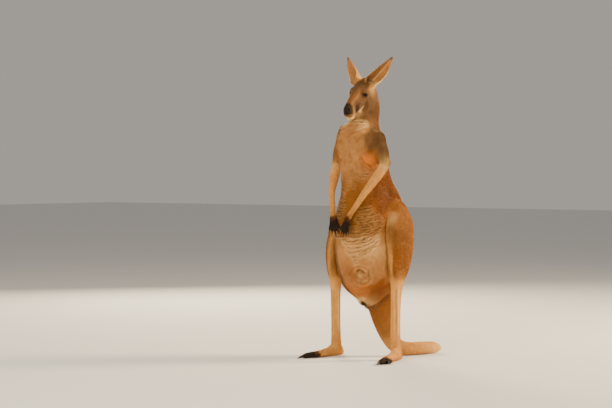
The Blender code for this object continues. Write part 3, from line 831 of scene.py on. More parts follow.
@dataclass
class Relief:
    """Folds, wrinkles, lids and grooves, as moves along the surface's own normals."""

    anatomy: Anatomy
    belly_turn: float = math.radians(20)
    wrinkle_depth: float = 0.0056
    fold_depth: float = 0.0080
    breast_depth: float = 0.0026
    armpit_depth: float = 0.0060
    groove_depth: float = 0.0062
    collar_depth: float = 0.0075
    seam_depth: float = 0.0085
    lip_height: float = 0.55
    lip_width: float = 2.6
    fine_gap: float = 0.0135
    fine_depth: float = 0.0026
    pouch: tuple = (0.050, -0.235, 0.454)
    vent: tuple = (-0.004, -0.140, 0.293)

    def around_trunk(self, points: np.ndarray) -> np.ndarray:
        """The angle around the trunk, 0 at the belly's middle line, rising to the left.

        Args:
            points: places, one row each.

        Returns:
            The angle of each point in radians.
        """
        middle = self.anatomy.clouds["trunk"].mean(0)
        angle = np.arctan2(points[:, 0] - middle[0], middle[1] + 0.02 - points[:, 1])
        return angle - self.belly_turn

    def nearness(
        self, points: np.ndarray, lines: tuple, width: float, sway: float = 0.0028
    ) -> np.ndarray:
        """How near each point is to any of the lines: 1 on a line, falling to 0 away from it.

        Args:
            points: places, one row each.
            lines: the lines, each a row of places.
            width: the distance at which little is left.
            sway: how far the lines stray from their course.

        Returns:
            The nearness of each point.
        """
        wander = np.stack([sway * ripple(points, 0.028, seed) for seed in (3, 4, 5)], axis=1)
        nearest = np.full(len(points), 1.0)
        for line in lines:
            low = np.min(line, axis=0) - 0.035
            high = np.max(line, axis=0) + 0.035
            here = ((points > low) & (points < high)).all(1)
            away, share = along_line(points[here] + wander[here], list(line))
            away = away + 0.010 * ramp(np.abs(share - 0.5), 0.40, 0.52)
            nearest[here] = np.minimum(nearest[here], away)
        return np.exp(-((nearest / width) ** 2))

    def crease(self, points: np.ndarray, lines: tuple, width: float) -> np.ndarray:
        """A valley along each line between two soft lips, 1 deep.

        Args:
            points: places, one row each.
            lines: the valleys' courses.
            width: the valley's width.

        Returns:
            The height at each point: -1 in the valley.
        """
        lips = self.lip_height * self.nearness(points, lines, self.lip_width * width)
        return lips - (1 + self.lip_height) * self.nearness(points, lines, width)

    def belly(self, points: np.ndarray) -> np.ndarray:
        """Long wrinkles over belly and flanks, and the deeper folds that hang under them.

        Args:
            points: places, one row each.

        Returns:
            Metres outwards for each point.
        """
        total = self.wrinkle_depth * self.crease(points, WRINKLES, 0.0042)
        total += self.fold_depth * self.crease(points, HANGING_FOLDS, 0.0056)
        return total - self.fine_depth * self.fine(points)

    def fine(self, points: np.ndarray) -> np.ndarray:
        """How deep in the fine wrinkles of belly and lower breast each point lies.

        Args:
            points: places, one row each.

        Returns:
            The depth's share at each point, from 0 to 1.
        """
        angle = self.around_trunk(points)
        level = points[:, 2] - 0.05 * (1 - np.cos(np.clip(angle, -1.7, 1.7)))
        level = level + 0.007 * ripple(points, 0.10, 6) + 0.0024 * ripple(points, 0.030, 7)
        here = ramp(points[:, 2], 0.60, 0.68) * ramp(points[:, 2], 1.07, 0.99)
        here = here * ramp(np.abs(angle + self.belly_turn), 0.95, 0.62)
        here = here * np.clip(0.65 + 0.6 * ripple(points, 0.07, 8), 0, 1)
        return here * (1 - np.abs(np.sin(math.pi * level / self.fine_gap))) ** 1.2

    def breast(self, points: np.ndarray) -> np.ndarray:
        """Fine arcs below the left armpit and over the lower breast, and the armpit's own fold.

        Args:
            points: places, one row each.

        Returns:
            Metres outwards for each point.
        """
        total = self.breast_depth * self.crease(points, BREAST_ARCS, 0.0034)
        return total + self.armpit_depth * self.crease(points, ARMPIT_FOLDS, 0.0060)

    def collar(self, points: np.ndarray) -> np.ndarray:
        """Loose folds across the base of the neck and over the right shoulder."""
        return self.collar_depth * self.crease(points, COLLAR_FOLDS, 0.0052)

    def seams(self, points: np.ndarray, share: np.ndarray) -> np.ndarray:
        """How near each point is to the seams where limbs and tail leave the trunk, 0 to 1.

        Args:
            points: places, one row each.
            share: how much each point belongs to each part.

        Returns:
            The nearness, from 0 to 1.
        """
        flesh = self.anatomy.flesh
        trunk = share[:, flesh.index("trunk")]
        thighs = share[:, flesh.index("thigh_left")] + share[:, flesh.index("thigh_right")]
        tail = share[:, flesh.index("tail_root")]
        ahead = ramp(points[:, 1], -0.035, -0.075)
        groin = np.clip(4 * trunk * thighs, 0, 1) * ahead * ramp(points[:, 2], 0.80, 0.72)
        rump = np.clip(4 * trunk * tail, 0, 1) * ramp(points[:, 1], 0.06, 0.0)
        return np.maximum(groin, rump) ** 1.5

    def pouch_mouth(self, points: np.ndarray) -> np.ndarray:
        """The closed mouth of the pouch: soft rings, a crescent hollow and a bump under it.

        Args:
            points: places, one row each.

        Returns:
            Metres outwards for each point.
        """
        away = points - np.array(self.pouch)
        distance = np.linalg.norm(away * (1.0, 0.6, 1.0), axis=1)
        ring = 0.0030 * hill(distance, 0.036, 0.008) + 0.0022 * hill(distance, 0.060, 0.008)
        hollow = 0.0090 * self.crease(points, (POUCH_LIP,), 0.0070)
        arcs = 0.0030 * self.crease(points, POUCH_ARCS, 0.0045)
        bump = 0.0060 * patch(points, self.pouch, (0.017, 0.06, 0.015))
        return ring + hollow + arcs + bump

    def vent_mouth(self, points: np.ndarray) -> np.ndarray:
        """The vent's small opening on its round mound.

        Args:
            points: places, one row each.

        Returns:
            Metres outwards for each point.
        """
        hole = patch(points, self.vent, (0.010, 0.024, 0.018))
        ring = patch(points, self.vent, (0.024, 0.034, 0.032)) - hole
        return 0.004 * ring - 0.011 * hole

    def limbs(self, points: np.ndarray) -> np.ndarray:
        """The hollows between bone and tendon on the shanks, and the sinews of the forearms.

        Args:
            points: places, one row each.

        Returns:
            Metres outwards for each point.
        """
        total = np.zeros(len(points))
        total -= self.groove_depth * self.nearness(points, SHANK_GROOVES, 0.0058, STEADY)
        total += 0.0014 * self.nearness(points, SHANK_TENDONS, 0.0050, STEADY)
        for side in Side:
            arm = [np.array(p) for p in self.anatomy.lines[f"forearm_{side.word}"]]
            sinew = [p + np.array((side.value * 0.006, -0.016, 0)) for p in arm]
            away, share = along_line(points, sinew)
            total += 0.0016 * np.exp(-((away / 0.006) ** 2)) * ramp(share, 0.25, 0.6)
        return total

    def face(self, points: np.ndarray) -> np.ndarray:
        """Nostrils, the groove of the mouth, the whisker pads and the hollows of the cheeks.

        Args:
            points: places, one row each.

        Returns:
            Metres outwards for each point.
        """
        own = self.anatomy.to_head(points)
        own[:, 0] = np.abs(own[:, 0])
        nostril = patch(own, (0.0125, -0.152, -0.0215), (0.0042, 0.008, 0.0062))
        wing = patch(own, (0.0135, -0.148, -0.0215), (0.0085, 0.012, 0.0095)) - nostril
        lips = [(0.0, -0.152, -0.070), (0.020, -0.132, -0.0735), (0.030, -0.098, -0.070)]
        lip, share = along_line(own, lips)
        parting, _ = along_line(own, [(0.0, -0.157, -0.034), (0.0, -0.154, -0.068)])
        total = -0.0075 * nostril + 0.0012 * wing
        total -= 0.0042 * np.exp(-((lip / 0.0028) ** 2)) * ramp(share, 1.02, 0.9)
        total -= 0.0018 * np.exp(-((parting / 0.0018) ** 2))
        total += 0.0015 * patch(own, (0.020, -0.128, -0.052), (0.012, 0.020, 0.013))
        total -= 0.0022 * patch(own, (0.036, -0.055, -0.032), (0.012, 0.026, 0.012))
        return total * ramp(own[:, 1], 0.02, -0.02)

    def height(self, points: np.ndarray, owner: np.ndarray, share: np.ndarray) -> np.ndarray:
        """How far each point moves out along its normal.

        Args:
            points: places, one row each.
            owner: the part each point belongs to.
            share: how much each point belongs to each part.

        Returns:
            Metres, outwards.
        """
        flesh = self.anatomy.flesh
        body = np.isin(owner, [flesh.index(n) for n in ("trunk", "neck", "thigh_left", "thigh_right")])
        total = np.zeros(len(points))
        here = points[body]
        total[body] = self.belly(here) + self.breast(here) + self.collar(here) + self.pouch_mouth(here)
        total += self.vent_mouth(points) + self.limbs(points)
        total -= self.seam_depth * self.seams(points, share)
        head = owner == flesh.index("head")
        total[head] += self.face(points[head])
        return total


@dataclass
class Lids:
    """The eyelids of one side: a slit over the eyeball with a rounded rim."""

    anatomy: Anatomy
    side: Side
    half_length: float = 0.0165
    upper: float = 0.0036
    lower: float = 0.0042
    thickness: float = 0.0015
    depth: float = 0.0030
    reach: float = 0.030
    facing: tuple = (0.90, -0.38, 0.20)
    slant: float = 0.10

    def __post_init__(self) -> None:
        """Works out the eye's middle, radius and the slit's own axes."""
        low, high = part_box(f"eye_{self.side.word}")
        self.middle = np.array((low + high) / 2)
        self.radius = (high.z - low.z) / 2
        turn = np.array(self.anatomy.head.to_3x3())
        self.out = turn @ np.array((self.facing[0] * self.side.value, *self.facing[1:]))
        self.out /= np.linalg.norm(self.out)
        ahead = np.cross(np.array((0, 0, 1.0)), self.out)
        ahead *= -np.sign((turn @ np.array((0, 1.0, 0))) @ ahead)
        ahead = ahead / np.linalg.norm(ahead) + self.slant * np.array((0, 0, 1.0))
        self.ahead = ahead / np.linalg.norm(ahead)
        self.over = np.cross(self.out, self.ahead)
        self.over *= np.sign(self.over[2])

    def edge(self, points: np.ndarray) -> tuple[np.ndarray, np.ndarray, np.ndarray]:
        """How far outside the slit's rim each point lies.

        Args:
            points: places, one row each.

        Returns:
            The distance from the rim (negative in the slit), from the eye's middle, and whether
            the point lies above the slit's line.
        """
        away = points - self.middle
        distance = np.linalg.norm(away, axis=1)
        length, rise = away @ self.ahead, away @ self.over
        turn = np.arccos(np.clip((away @ self.out) / np.maximum(distance, 1e-6), -1, 1))
        spread = turn * self.radius / np.maximum(np.hypot(length, rise), 1e-6)
        length, rise = length * spread, rise * spread
        share = np.minimum(np.abs(length) / self.half_length, 1.0)
        half = np.where(rise > 0, self.upper, self.lower) * (1 - share**1.9)
        past = np.maximum(np.abs(length) - self.half_length, 0)
        rim = np.abs(rise) - half + past * 1.1
        rim = np.where(away @ self.out > 0, rim, self.reach)
        return rim, distance, rise > 0

    def shape(self, points: np.ndarray) -> np.ndarray:
        """Draws the lids over the eyeball.

        Args:
            points: places, one row each.

        Returns:
            Their new places.
        """
        rim, distance, above = self.edge(points)
        near = distance < self.reach + self.radius
        away = unit(points - self.middle)
        lid = self.radius + self.thickness + 0.0006 * hill(rim, 0.0022, 0.0012) * above
        crease = 0.0011 * hill(rim, 0.0065, 0.0014) * above + 0.0009 * hill(rim, 0.006, 0.0014) * ~above
        outer = distance - crease
        skin = lid + (outer - lid) * ramp(rim, 0.0030, 0.0150)
        target = (self.radius - self.depth) + (skin - self.radius + self.depth) * ramp(rim, -0.0007, 0.0007)
        moved = self.middle + away * target[:, None]
        return np.where(near[:, None], moved, points)


# ---------------------------------------------------------------- colours
class Shade(Enum):
    """The coat's colours, as display values."""

    TAN = (172, 110, 48)
    GREY_TAN = (114, 78, 44)
    GREY_BROWN = (96, 68, 38)
    PALE = (232, 168, 86)
    CREAM = (250, 206, 132)
    RUST = (134, 70, 4)
    DEEP_RUST = (102, 52, 2)
    ORANGE = (226, 130, 38)
    CHEST = (196, 138, 78)
    OLIVE = (134, 80, 22)
    BACK = (146, 78, 16)
    DARK = (30, 13, 4)
    BROWN = (78, 40, 8)
    NOSE = (32, 18, 8)
    EAR_INSIDE = (194, 134, 76)
    LID = (16, 8, 4)


@dataclass(frozen=True)
class Spot:
    """A soft round spot on both sides of the face, in the head's own axes."""

    shade: Shade
    amount: float
    middle: tuple
    reach: tuple
    past_jaw: bool = False


NOSE_BRIDGE = Spot(Shade.ORANGE, 0.22, (0.0, -0.085, 0.01), (0.020, 0.050, 0.05))
MOUTH_END = Spot(Shade.BROWN, 0.70, (0.016, -0.148, -0.062), (0.022, 0.018, 0.012))
CHEEK_SPOTS = (
    Spot(Shade.GREY_BROWN, 0.80, (0.056, 0.010, -0.050), (0.034, 0.055, 0.050), past_jaw=True),
    Spot(Shade.GREY_BROWN, 0.20, (0.0, 0.020, 0.055), (0.060, 0.060, 0.030)),
)
LIP_SPOTS = (
    Spot(Shade.CREAM, 0.85, (0.014, -0.140, -0.066), (0.020, 0.024, 0.013)),
    Spot(Shade.PALE, 0.5, (0.028, -0.118, -0.048), (0.008, 0.008, 0.025)),
    Spot(Shade.CREAM, 0.90, (0.008, -0.066, -0.092), (0.024, 0.022, 0.014), past_jaw=True),
)
EYE_AND_CHIN_SPOTS = (
    Spot(Shade.BROWN, 0.75, (0.040, -0.030, -0.008), (0.018, 0.022, 0.018)),
    Spot(Shade.BROWN, 0.60, (0.014, -0.138, -0.090), (0.018, 0.020, 0.012)),
    Spot(Shade.BROWN, 0.55, (0.036, 0.000, 0.030), (0.018, 0.030, 0.010)),
    Spot(Shade.PALE, 0.55, (0.054, 0.048, 0.008), (0.020, 0.022, 0.034), past_jaw=True),
    Spot(Shade.BROWN, 0.5, (0.060, 0.018, -0.026), (0.010, 0.008, 0.008)),
)
WHISKER_PAD = ((0.031, -0.086, -0.046), (0.030, 0.022, 0.033))
NOSE_STREAK = ((0.017, -0.118, -0.002), (0.023, -0.060, 0.010), (0.024, -0.030, 0.026))
# the course of the painted shadow along the jaw's lower edge, where head meets neck
JAW_SHADOW = ((0.034, -0.040, -0.100), (0.050, -0.012, -0.100), (0.066, 0.030, -0.094))
CHEEK_STRIPE = (
    (0.022, -0.088, -0.074), (0.021, -0.052, -0.080), (0.025, -0.039, -0.070), (0.034, -0.023, -0.059),
    (0.046, -0.004, -0.048),
)

ARMPITS = {Side.LEFT: (0.082, -0.205, 1.080), Side.RIGHT: (-0.130, -0.215, 1.093)}
UPPER_ARM_DUSK = {Side.LEFT: 0.90, Side.RIGHT: 0.45}


@dataclass
class Canvas:
    """Points on the body, with the colours laid on them so far."""

    anatomy: Anatomy
    points: np.ndarray
    normals: np.ndarray
    share: np.ndarray
    colour: np.ndarray = None

    def __post_init__(self) -> None:
        """Starts with plain tan."""
        self.colour = np.tile(linear(Shade.TAN.value), (len(self.points), 1))

    def lay(self, shade: Shade, share: np.ndarray) -> None:
        """Lays a shade over the colours.

        Args:
            shade: the shade.
            share: how much of it shows at each point.
        """
        share = np.clip(share, 0, 1)[:, None]
        self.colour = self.colour * (1 - share) + linear(shade.value) * share

    def part(self, *names: str) -> np.ndarray:
        """How much each point belongs to the named parts."""
        return sum(self.share[:, self.anatomy.flesh.index(name)] for name in names)

    def both(self, name: str) -> np.ndarray:
        """How much each point belongs to a part of either side."""
        return self.part(f"{name}_left", f"{name}_right")


@dataclass
class EarShell:
    """One ear's own axes and how wide its shell is along them."""

    anatomy: Anatomy
    side: Side
    facing: tuple = (0.35, -1.0, 0.1)
    rows: tuple = (-0.1, 1.02, 18)
    least_width: float = 0.006

    def __post_init__(self) -> None:
        """Works out the axes, and the shell's two edges in each row from root to tip."""
        name = f"ear_{self.side.word}"
        self.root, tip = self.anatomy.lines[name]
        self.length = np.linalg.norm(tip - self.root)
        self.axis = (tip - self.root) / self.length
        mouth = np.array((self.facing[0] * self.side.value, *self.facing[1:]))
        self.mouth = unit((mouth - (mouth @ self.axis) * self.axis)[None])[0]
        self.outward = np.cross(self.mouth, self.axis)
        self.outward *= self.side.value * np.sign(self.outward[0])
        cloud = self.anatomy.spread(name) - self.root
        edges = np.linspace(*self.rows)
        row_of = np.digitize(cloud @ self.axis / self.length, edges)
        across = cloud @ self.outward
        rows = [across[row_of == row] for row in range(1, len(edges))]
        low = np.array([row.min() if len(row) else 0 for row in rows])
        high = np.array([row.max() if len(row) else 0 for row in rows])
        used = high > low
        self.middles = ((edges[1:] + edges[:-1]) / 2)[used]
        self.low, self.high = smoothed(low[used]), smoothed(high[used])

    def place(self, points: np.ndarray) -> tuple[np.ndarray, np.ndarray]:
        """Where points lie on the shell.

        Args:
            points: places, one row each.

        Returns:
            The share of the way from root to tip, and the place across: -1 to 1, edge to edge.
        """
        along = (points - self.root) @ self.axis / self.length
        low = np.interp(along, self.middles, self.low)
        high = np.interp(along, self.middles, self.high)
        width = np.maximum(high - low, self.least_width)
        return along, 2 * ((points - self.root) @ self.outward - low) / width - 1


@dataclass
class Markings:
    """Paints skin and coat alike, from where a point lies on the body."""

    anatomy: Anatomy
    relief: Relief

    def paint(self, points: np.ndarray, normals: np.ndarray, share: np.ndarray) -> np.ndarray:
        """The coat's colour at each point.

        Args:
            points: places, one row each.
            normals: the surface's normals there.
            share: how much each point belongs to each part.

        Returns:
            Colours in linear light, one row each.
        """
        canvas = Canvas(self.anatomy, points, normals, share)
        cloud = 0.5 + 0.5 * np.clip(ripple(points, 0.11, 31), -1, 1)
        canvas.lay(Shade.GREY_TAN, 0.35 * cloud)
        self.trunk(canvas)
        self.belly(canvas)
        self.neck_and_shoulders(canvas)
        self.tail(canvas)
        self.creases(canvas)
        self.legs(canvas)
        self.feet(canvas)
        self.arms(canvas)
        self.head(canvas)
        self.ears(canvas)
        return np.clip(canvas.colour * (1 + 0.06 * ripple(points, 0.030, 37))[:, None], 0, 1)

    def trunk(self, canvas: Canvas) -> None:
        """Paints the back, the breast and the flanks.

        Args:
            canvas: the points to paint.
        """
        points, normals = canvas.points, canvas.normals
        trunk = canvas.part("trunk")
        aside = np.abs(self.relief.around_trunk(points) + self.relief.belly_turn)
        cloud = ripple(points, 0.10, 41)
        height = points[:, 2] + 0.022 * cloud
        behind = ramp(normals[:, 1], 0.0, 0.6)
        canvas.lay(Shade.BACK, 0.75 * behind * (trunk + 0.4 * canvas.part("neck")))
        front = ramp(aside + 0.10 * cloud, 1.25, 0.80)
        canvas.lay(Shade.CHEST, 0.90 * trunk * front * ramp(height, 0.93, 1.03))
        blotch = ramp(ripple(points, 0.045, 43), 0.35, 1.1)
        canvas.lay(Shade.OLIVE, 0.40 * trunk * blotch * ramp(height, 0.95, 1.05))
        middle = ramp(height, 0.62, 0.70) * ramp(height, 1.00, 0.88)
        canvas.lay(Shade.OLIVE, 0.85 * trunk * front * middle)
        flank = trunk * ramp(aside + 0.08 * cloud, 0.58, 0.92)
        flank = flank * ramp(height, 0.62, 0.72) * ramp(height, 1.10, 0.97)
        canvas.lay(Shade.RUST, 0.92 * flank)
        deep = ramp(height, 0.76, 0.84) * ramp(height, 0.98, 0.92) * ramp(normals[:, 1], 0.5, -0.1)
        canvas.lay(Shade.DEEP_RUST, 0.75 * flank * deep)

    def belly(self, canvas: Canvas) -> None:
        """Paints the pouch, the lower belly and the vent.

        Args:
            canvas: the points to paint.
        """
        points = canvas.points
        trunk = canvas.part("trunk")
        around = self.relief.around_trunk(points)
        aside = np.abs(around + self.relief.belly_turn)
        height = points[:, 2] + 0.022 * ripple(points, 0.10, 41)
        pouch = trunk * ramp(aside, 1.6, 1.1) * ramp(height, 0.365, 0.43) * ramp(height, 0.69, 0.60)
        canvas.lay(Shade.CHEST, 0.80 * pouch)
        sides = pouch * hill(np.clip(aside, 0, 2), 0.85, 0.30) * ramp(height, 0.48, 0.56)
        canvas.lay(Shade.CREAM, 0.40 * sides)
        apron = patch(points, (0.008, -0.255, 0.474), (0.090, 0.13, 0.060))
        canvas.lay(Shade.RUST, 0.68 * trunk * apron)
        low = trunk * ramp(aside, 1.7, 1.1) * ramp(height, 0.43, 0.40) * ramp(height, 0.33, 0.36)
        canvas.lay(Shade.ORANGE, 0.45 * low)
        canvas.lay(Shade.RUST, 0.80 * low * ramp(around, 0.0, 0.45))
        # painted shadow: a brown band on the belly's right side, beside the right thigh
        shaded = ramp(-around, 0.62, 0.80) * ramp(-around, 1.40, 1.10) * ramp(height, 0.70, 0.62)
        canvas.lay(Shade.BROWN, 0.70 * trunk * shaded)
        mound = patch(points, np.add(self.relief.vent, (0, 0, 0.010)), (0.050, 0.07, 0.034))
        canvas.lay(Shade.CREAM, 0.85 * mound)
        canvas.lay(Shade.DARK, 2.0 * patch(points, self.relief.vent, (0.0110, 0.05, 0.0215)))

    def tail(self, canvas: Canvas) -> None:
        """Paints the tail, rusty at its root and paler towards its tip.

        Args:
            canvas: the points to paint.
        """
        points = canvas.points
        tail = canvas.part("tail_root")
        canvas.lay(Shade.RUST, 0.45 * tail * ramp(points[:, 2], 0.12, 0.25))
        lying = 0.85 * canvas.part("tail_middle") * ramp(points[:, 2], 0.15, 0.07)
        lying = lying + canvas.part("tail_end")
        canvas.lay(Shade.PALE, 0.62 * lying)
        tip = self.anatomy.lines["tail_end"][1]
        canvas.lay(Shade.CREAM, 0.85 * patch(points, tip, 0.13) * lying)

    def neck_and_shoulders(self, canvas: Canvas) -> None:
        """Paints the throat, the neck's left side and the darker shoulders.

        Args:
            canvas: the points to paint.
        """
        points, normals = canvas.points, canvas.normals
        neck = canvas.part("neck")
        throat = neck * ramp(normals[:, 1], 0.35, -0.35)
        canvas.lay(Shade.GREY_TAN, 0.65 * throat)
        lateral = neck * ramp(normals[:, 0], -0.1, 0.5) * ramp(points[:, 2], 1.46, 1.38)
        canvas.lay(Shade.GREY_BROWN, 0.50 * lateral)
        aside = np.abs(points[:, 0] - MIDDLE_X) + 0.22 * np.maximum(points[:, 2] - 1.15, 0)
        shoulder = canvas.part("trunk") * ramp(aside, 0.082, 0.102) * ramp(points[:, 2], 1.04, 1.10)
        shoulder = shoulder * ramp(normals[:, 1], 0.6, 0.1)
        canvas.lay(Shade.GREY_BROWN, 0.80 * shoulder * ramp(points[:, 0], -0.09, 0.03))
        canvas.lay(Shade.GREY_BROWN, 0.35 * shoulder)

    def creases(self, canvas: Canvas) -> None:
        """Darkens the valleys between folds as painted shade, pales the folds' backs as painted highlight,
        and paints shadow at the groin and under the belly's edge.

        Args:
            canvas: the points to paint.
        """
        points, relief = canvas.points, self.relief
        trunk = canvas.part("trunk", "neck")
        shade_and_highlight_lines = (
            (WRINKLES, 0.0046, 0.95, 0.18),
            (HANGING_FOLDS, 0.0058, 0.95, 0.45),
            (COLLAR_FOLDS, 0.0050, 0.65, 0.85),
            (BREAST_ARCS, 0.0036, 0.55, 0.10),
            (ARMPIT_FOLDS, 0.0075, 0.85, 0.0),
            ((POUCH_LIP,), 0.0090, 0.95, 0.15),
            (POUCH_ARCS, 0.0055, 0.70, 0.12),
        )
        # painted highlight along each fold's back and painted shade in its valley
        for lines, width, dark, pale in shade_and_highlight_lines:
            if pale:
                canvas.lay(Shade.CREAM, pale * trunk * relief.nearness(points, lines, 2.5 * width))
            canvas.lay(Shade.BROWN, dark * trunk * relief.nearness(points, lines, width))
        # painted shade in the fine wrinkles
        canvas.lay(Shade.BROWN, 0.42 * trunk * relief.fine(points))
        canvas.lay(Shade.CREAM, 0.45 * trunk * patch(points, relief.pouch, (0.013, 0.06, 0.012)))
        # painted shadow at the groin and where the belly overhangs the tail's root
        canvas.lay(Shade.BROWN, 0.90 * relief.seams(points, canvas.share))

    def legs(self, canvas: Canvas) -> None:
        """Paints thighs and shanks.

        Args:
            canvas: the points to paint.
        """
        points, normals = canvas.points, canvas.normals
        thigh = canvas.both("thigh")
        height = points[:, 2] + 0.02 * ripple(points, 0.08, 45)
        canvas.lay(Shade.TAN, 0.9 * thigh)
        outward = normals[:, 0] * np.sign(points[:, 0] - MIDDLE_X)
        ahead = ramp(normals[:, 1], -0.35, -0.85) * ramp(outward, 0.55, 0.10)
        canvas.lay(Shade.PALE, 0.70 * thigh * ahead)
        aslant = ramp(0.70 * outward - 0.71 * normals[:, 1], 0.55, 0.90)
        canvas.lay(Shade.GREY_BROWN, 0.42 * thigh * aslant * hill(height, 0.670, 0.060))
        outer = ramp(outward, 0.15, 0.55) * hill(height, 0.53, 0.12) * ramp(normals[:, 1], 0.5, -0.3)
        canvas.lay(Shade.RUST, 0.75 * thigh * outer)
        # painted highlight on the front of the knees
        knee_highlight = hill(points[:, 2], 0.770, 0.034) * ramp(normals[:, 1], 0.3, -0.6)
        knee_highlight = knee_highlight * ramp(outward, 0.85, 0.40)
        canvas.lay(Shade.CREAM, 0.60 * thigh * knee_highlight)
        canvas.lay(Shade.RUST, 0.85 * thigh * ramp(height, 0.790, 0.840))
        canvas.lay(Shade.DEEP_RUST, 0.45 * thigh * ramp(height, 0.830, 0.870))
        # painted shade on the thighs' inner sides, towards the belly
        inner_shade = ramp(-outward, 0.1, 0.6)
        canvas.lay(Shade.BROWN, 0.55 * thigh * inner_shade)
        shank = canvas.both("shank")
        canvas.lay(Shade.PALE, 0.95 * (shank + 0.8 * thigh * ramp(height, 0.44, 0.37)))
        canvas.lay(Shade.CREAM, 0.55 * shank * ramp(normals[:, 1], 0.2, 0.8))

    def feet(self, canvas: Canvas) -> None:
        """Paints the feet with their dark toes, a painted highlight along the tendons above them and painted
        shade in their grooves.

        Args:
            canvas: the points to paint.
        """
        points = canvas.points
        foot = canvas.both("foot")
        canvas.lay(Shade.PALE, 0.95 * foot)
        canvas.lay(Shade.TAN, 0.30 * foot)
        lower = np.clip(canvas.both("shank") + canvas.both("thigh") + foot, 0, 1)
        # painted highlight along the shanks' tendons
        tendons = self.relief.nearness(points, SHANK_TENDONS, 0.0065, STEADY)
        canvas.lay(Shade.CREAM, 0.95 * lower * tendons)
        # painted shade in the grooves beside them
        grooves = self.relief.nearness(points, SHANK_GROOVES, 0.0062, STEADY)
        canvas.lay(Shade.BROWN, 0.66 * lower * grooves)
        for side in Side:
            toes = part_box(f"foot_{side.word}")[0].y
            ahead = points[:, 1] - toes + 0.010 * ripple(points, 0.03, 47)
            here = canvas.part(f"foot_{side.word}")
            canvas.lay(Shade.BROWN, here * ramp(ahead, 0.128, 0.092))
            canvas.lay(Shade.DARK, here * ramp(ahead, 0.106, 0.070))

    def arms(self, canvas: Canvas) -> None:
        """Paints upper arms, forearms, wrists and hands.

        Args:
            canvas: the points to paint.
        """
        points = canvas.points
        for side in Side:
            elbow, wrist = (np.array(p) for p in self.anatomy.lines[f"forearm_{side.word}"])
            upper = canvas.part(f"upper_arm_{side.word}")
            canvas.lay(Shade.GREY_BROWN, UPPER_ARM_DUSK[side] * upper)
            warm = 1.4 * patch(points, ARMPITS[side], (0.032, 0.050, 0.040))
            canvas.lay(Shade.ORANGE, 0.85 * warm)
            fore = canvas.part(f"forearm_{side.word}")
            canvas.lay(Shade.PALE, 0.95 * fore)
            _, along = along_line(points, [elbow, wrist])
            canvas.lay(Shade.TAN, 0.22 * fore)
            canvas.lay(Shade.TAN, 0.45 * fore * ramp(along, 0.70, 0.98))
            bend = patch(points, elbow, 0.045)
            canvas.lay(Shade.CREAM, 0.55 * (upper + fore) * bend)
            hand = canvas.part(f"hand_{side.word}")
            drop = wrist[2] - points[:, 2] + 0.006 * ripple(points, 0.03, 43)
            near = ramp(np.linalg.norm(points - wrist, axis=1), 0.20, 0.12)
            arm_end = np.clip(hand + fore * ramp(along, 0.7, 0.9), 0, 1) * near
            canvas.lay(Shade.BROWN, arm_end * ramp(drop, -0.016, 0.016))
            canvas.lay(Shade.DARK, arm_end * ramp(drop, 0.008, 0.038))

    def face(self, canvas: Canvas) -> np.ndarray:
        """How much each point belongs to the head, or a little less to the neck behind the jaw."""
        return np.clip(canvas.part("head") + 0.7 * canvas.part("neck"), 0, 1)

    def dab(self, canvas: Canvas, own: np.ndarray, *spots: Spot) -> None:
        """Lays soft round spots on the face.

        Args:
            canvas: the points to paint.
            own: the same points in the head's own axes, all on one side.
            spots: the spots, in order.
        """
        for spot in spots:
            where = self.face(canvas) if spot.past_jaw else canvas.part("head")
            canvas.lay(spot.shade, spot.amount * where * patch(own, spot.middle, spot.reach))

    def head(self, canvas: Canvas) -> None:
        """Paints the face's stripes, patches, lips, lids and nose.

        Args:
            canvas: the points to paint.
        """
        own = self.anatomy.to_head(canvas.points)
        own[:, 0] = np.abs(own[:, 0])
        head = canvas.part("head")
        canvas.lay(Shade.GREY_TAN, 0.92 * head)
        cloud = ramp(ripple(own, 0.020, 61), 0.2, 1.0)
        canvas.lay(Shade.GREY_BROWN, 0.50 * head * cloud * ramp(own[:, 1], -0.06, 0.0))
        self.dab(canvas, own, NOSE_BRIDGE)
        streak, _ = along_line(own, NOSE_STREAK)
        canvas.lay(Shade.PALE, 0.22 * head * hill(streak, 0.0, 0.0055))
        self.dab(canvas, own, *CHEEK_SPOTS)
        # painted shadow under the jaw
        jaw, _ = along_line(own, JAW_SHADOW)
        canvas.lay(Shade.BROWN, 0.55 * self.face(canvas) * hill(jaw, 0.0, 0.010))
        stripe, along = along_line(own, CHEEK_STRIPE)
        canvas.lay(Shade.CREAM, 0.95 * head * ramp(along, 0.92, 0.40) * hill(stripe, 0.0, 0.0075))
        chin = ramp(own[:, 2], -0.062, -0.074)
        canvas.lay(Shade.CREAM, 0.9 * head * chin * ramp(own[:, 1], -0.075, -0.10))
        self.dab(canvas, own, *LIP_SPOTS)
        whisker = patch(own, *WHISKER_PAD)
        canvas.lay(Shade.BROWN, 1.6 * head * whisker)
        canvas.lay(Shade.DARK, 1.5 * head * whisker**2)
        snout = ramp(own[:, 1] - 0.30 * (own[:, 2] + 0.02), -0.120, -0.134)
        snout = snout * ramp(own[:, 2], -0.054, -0.045) * ramp(own[:, 0], 0.034, 0.025)
        canvas.lay(Shade.DARK, 0.95 * head * snout)
        self.dab(canvas, own, MOUTH_END)
        pad = ramp(own[:, 1], -0.146, -0.151) * ramp(own[:, 2], -0.046, -0.039)
        canvas.lay(Shade.NOSE, head * pad)
        self.dab(canvas, own, *EYE_AND_CHIN_SPOTS)
        for side in Side:
            rim, _, _ = Lids(self.anatomy, side).edge(canvas.points)
            canvas.lay(Shade.BROWN, 0.75 * head * ramp(rim, 0.0100, 0.0045))
            canvas.lay(Shade.LID, head * ramp(rim, 0.0055, 0.0028))

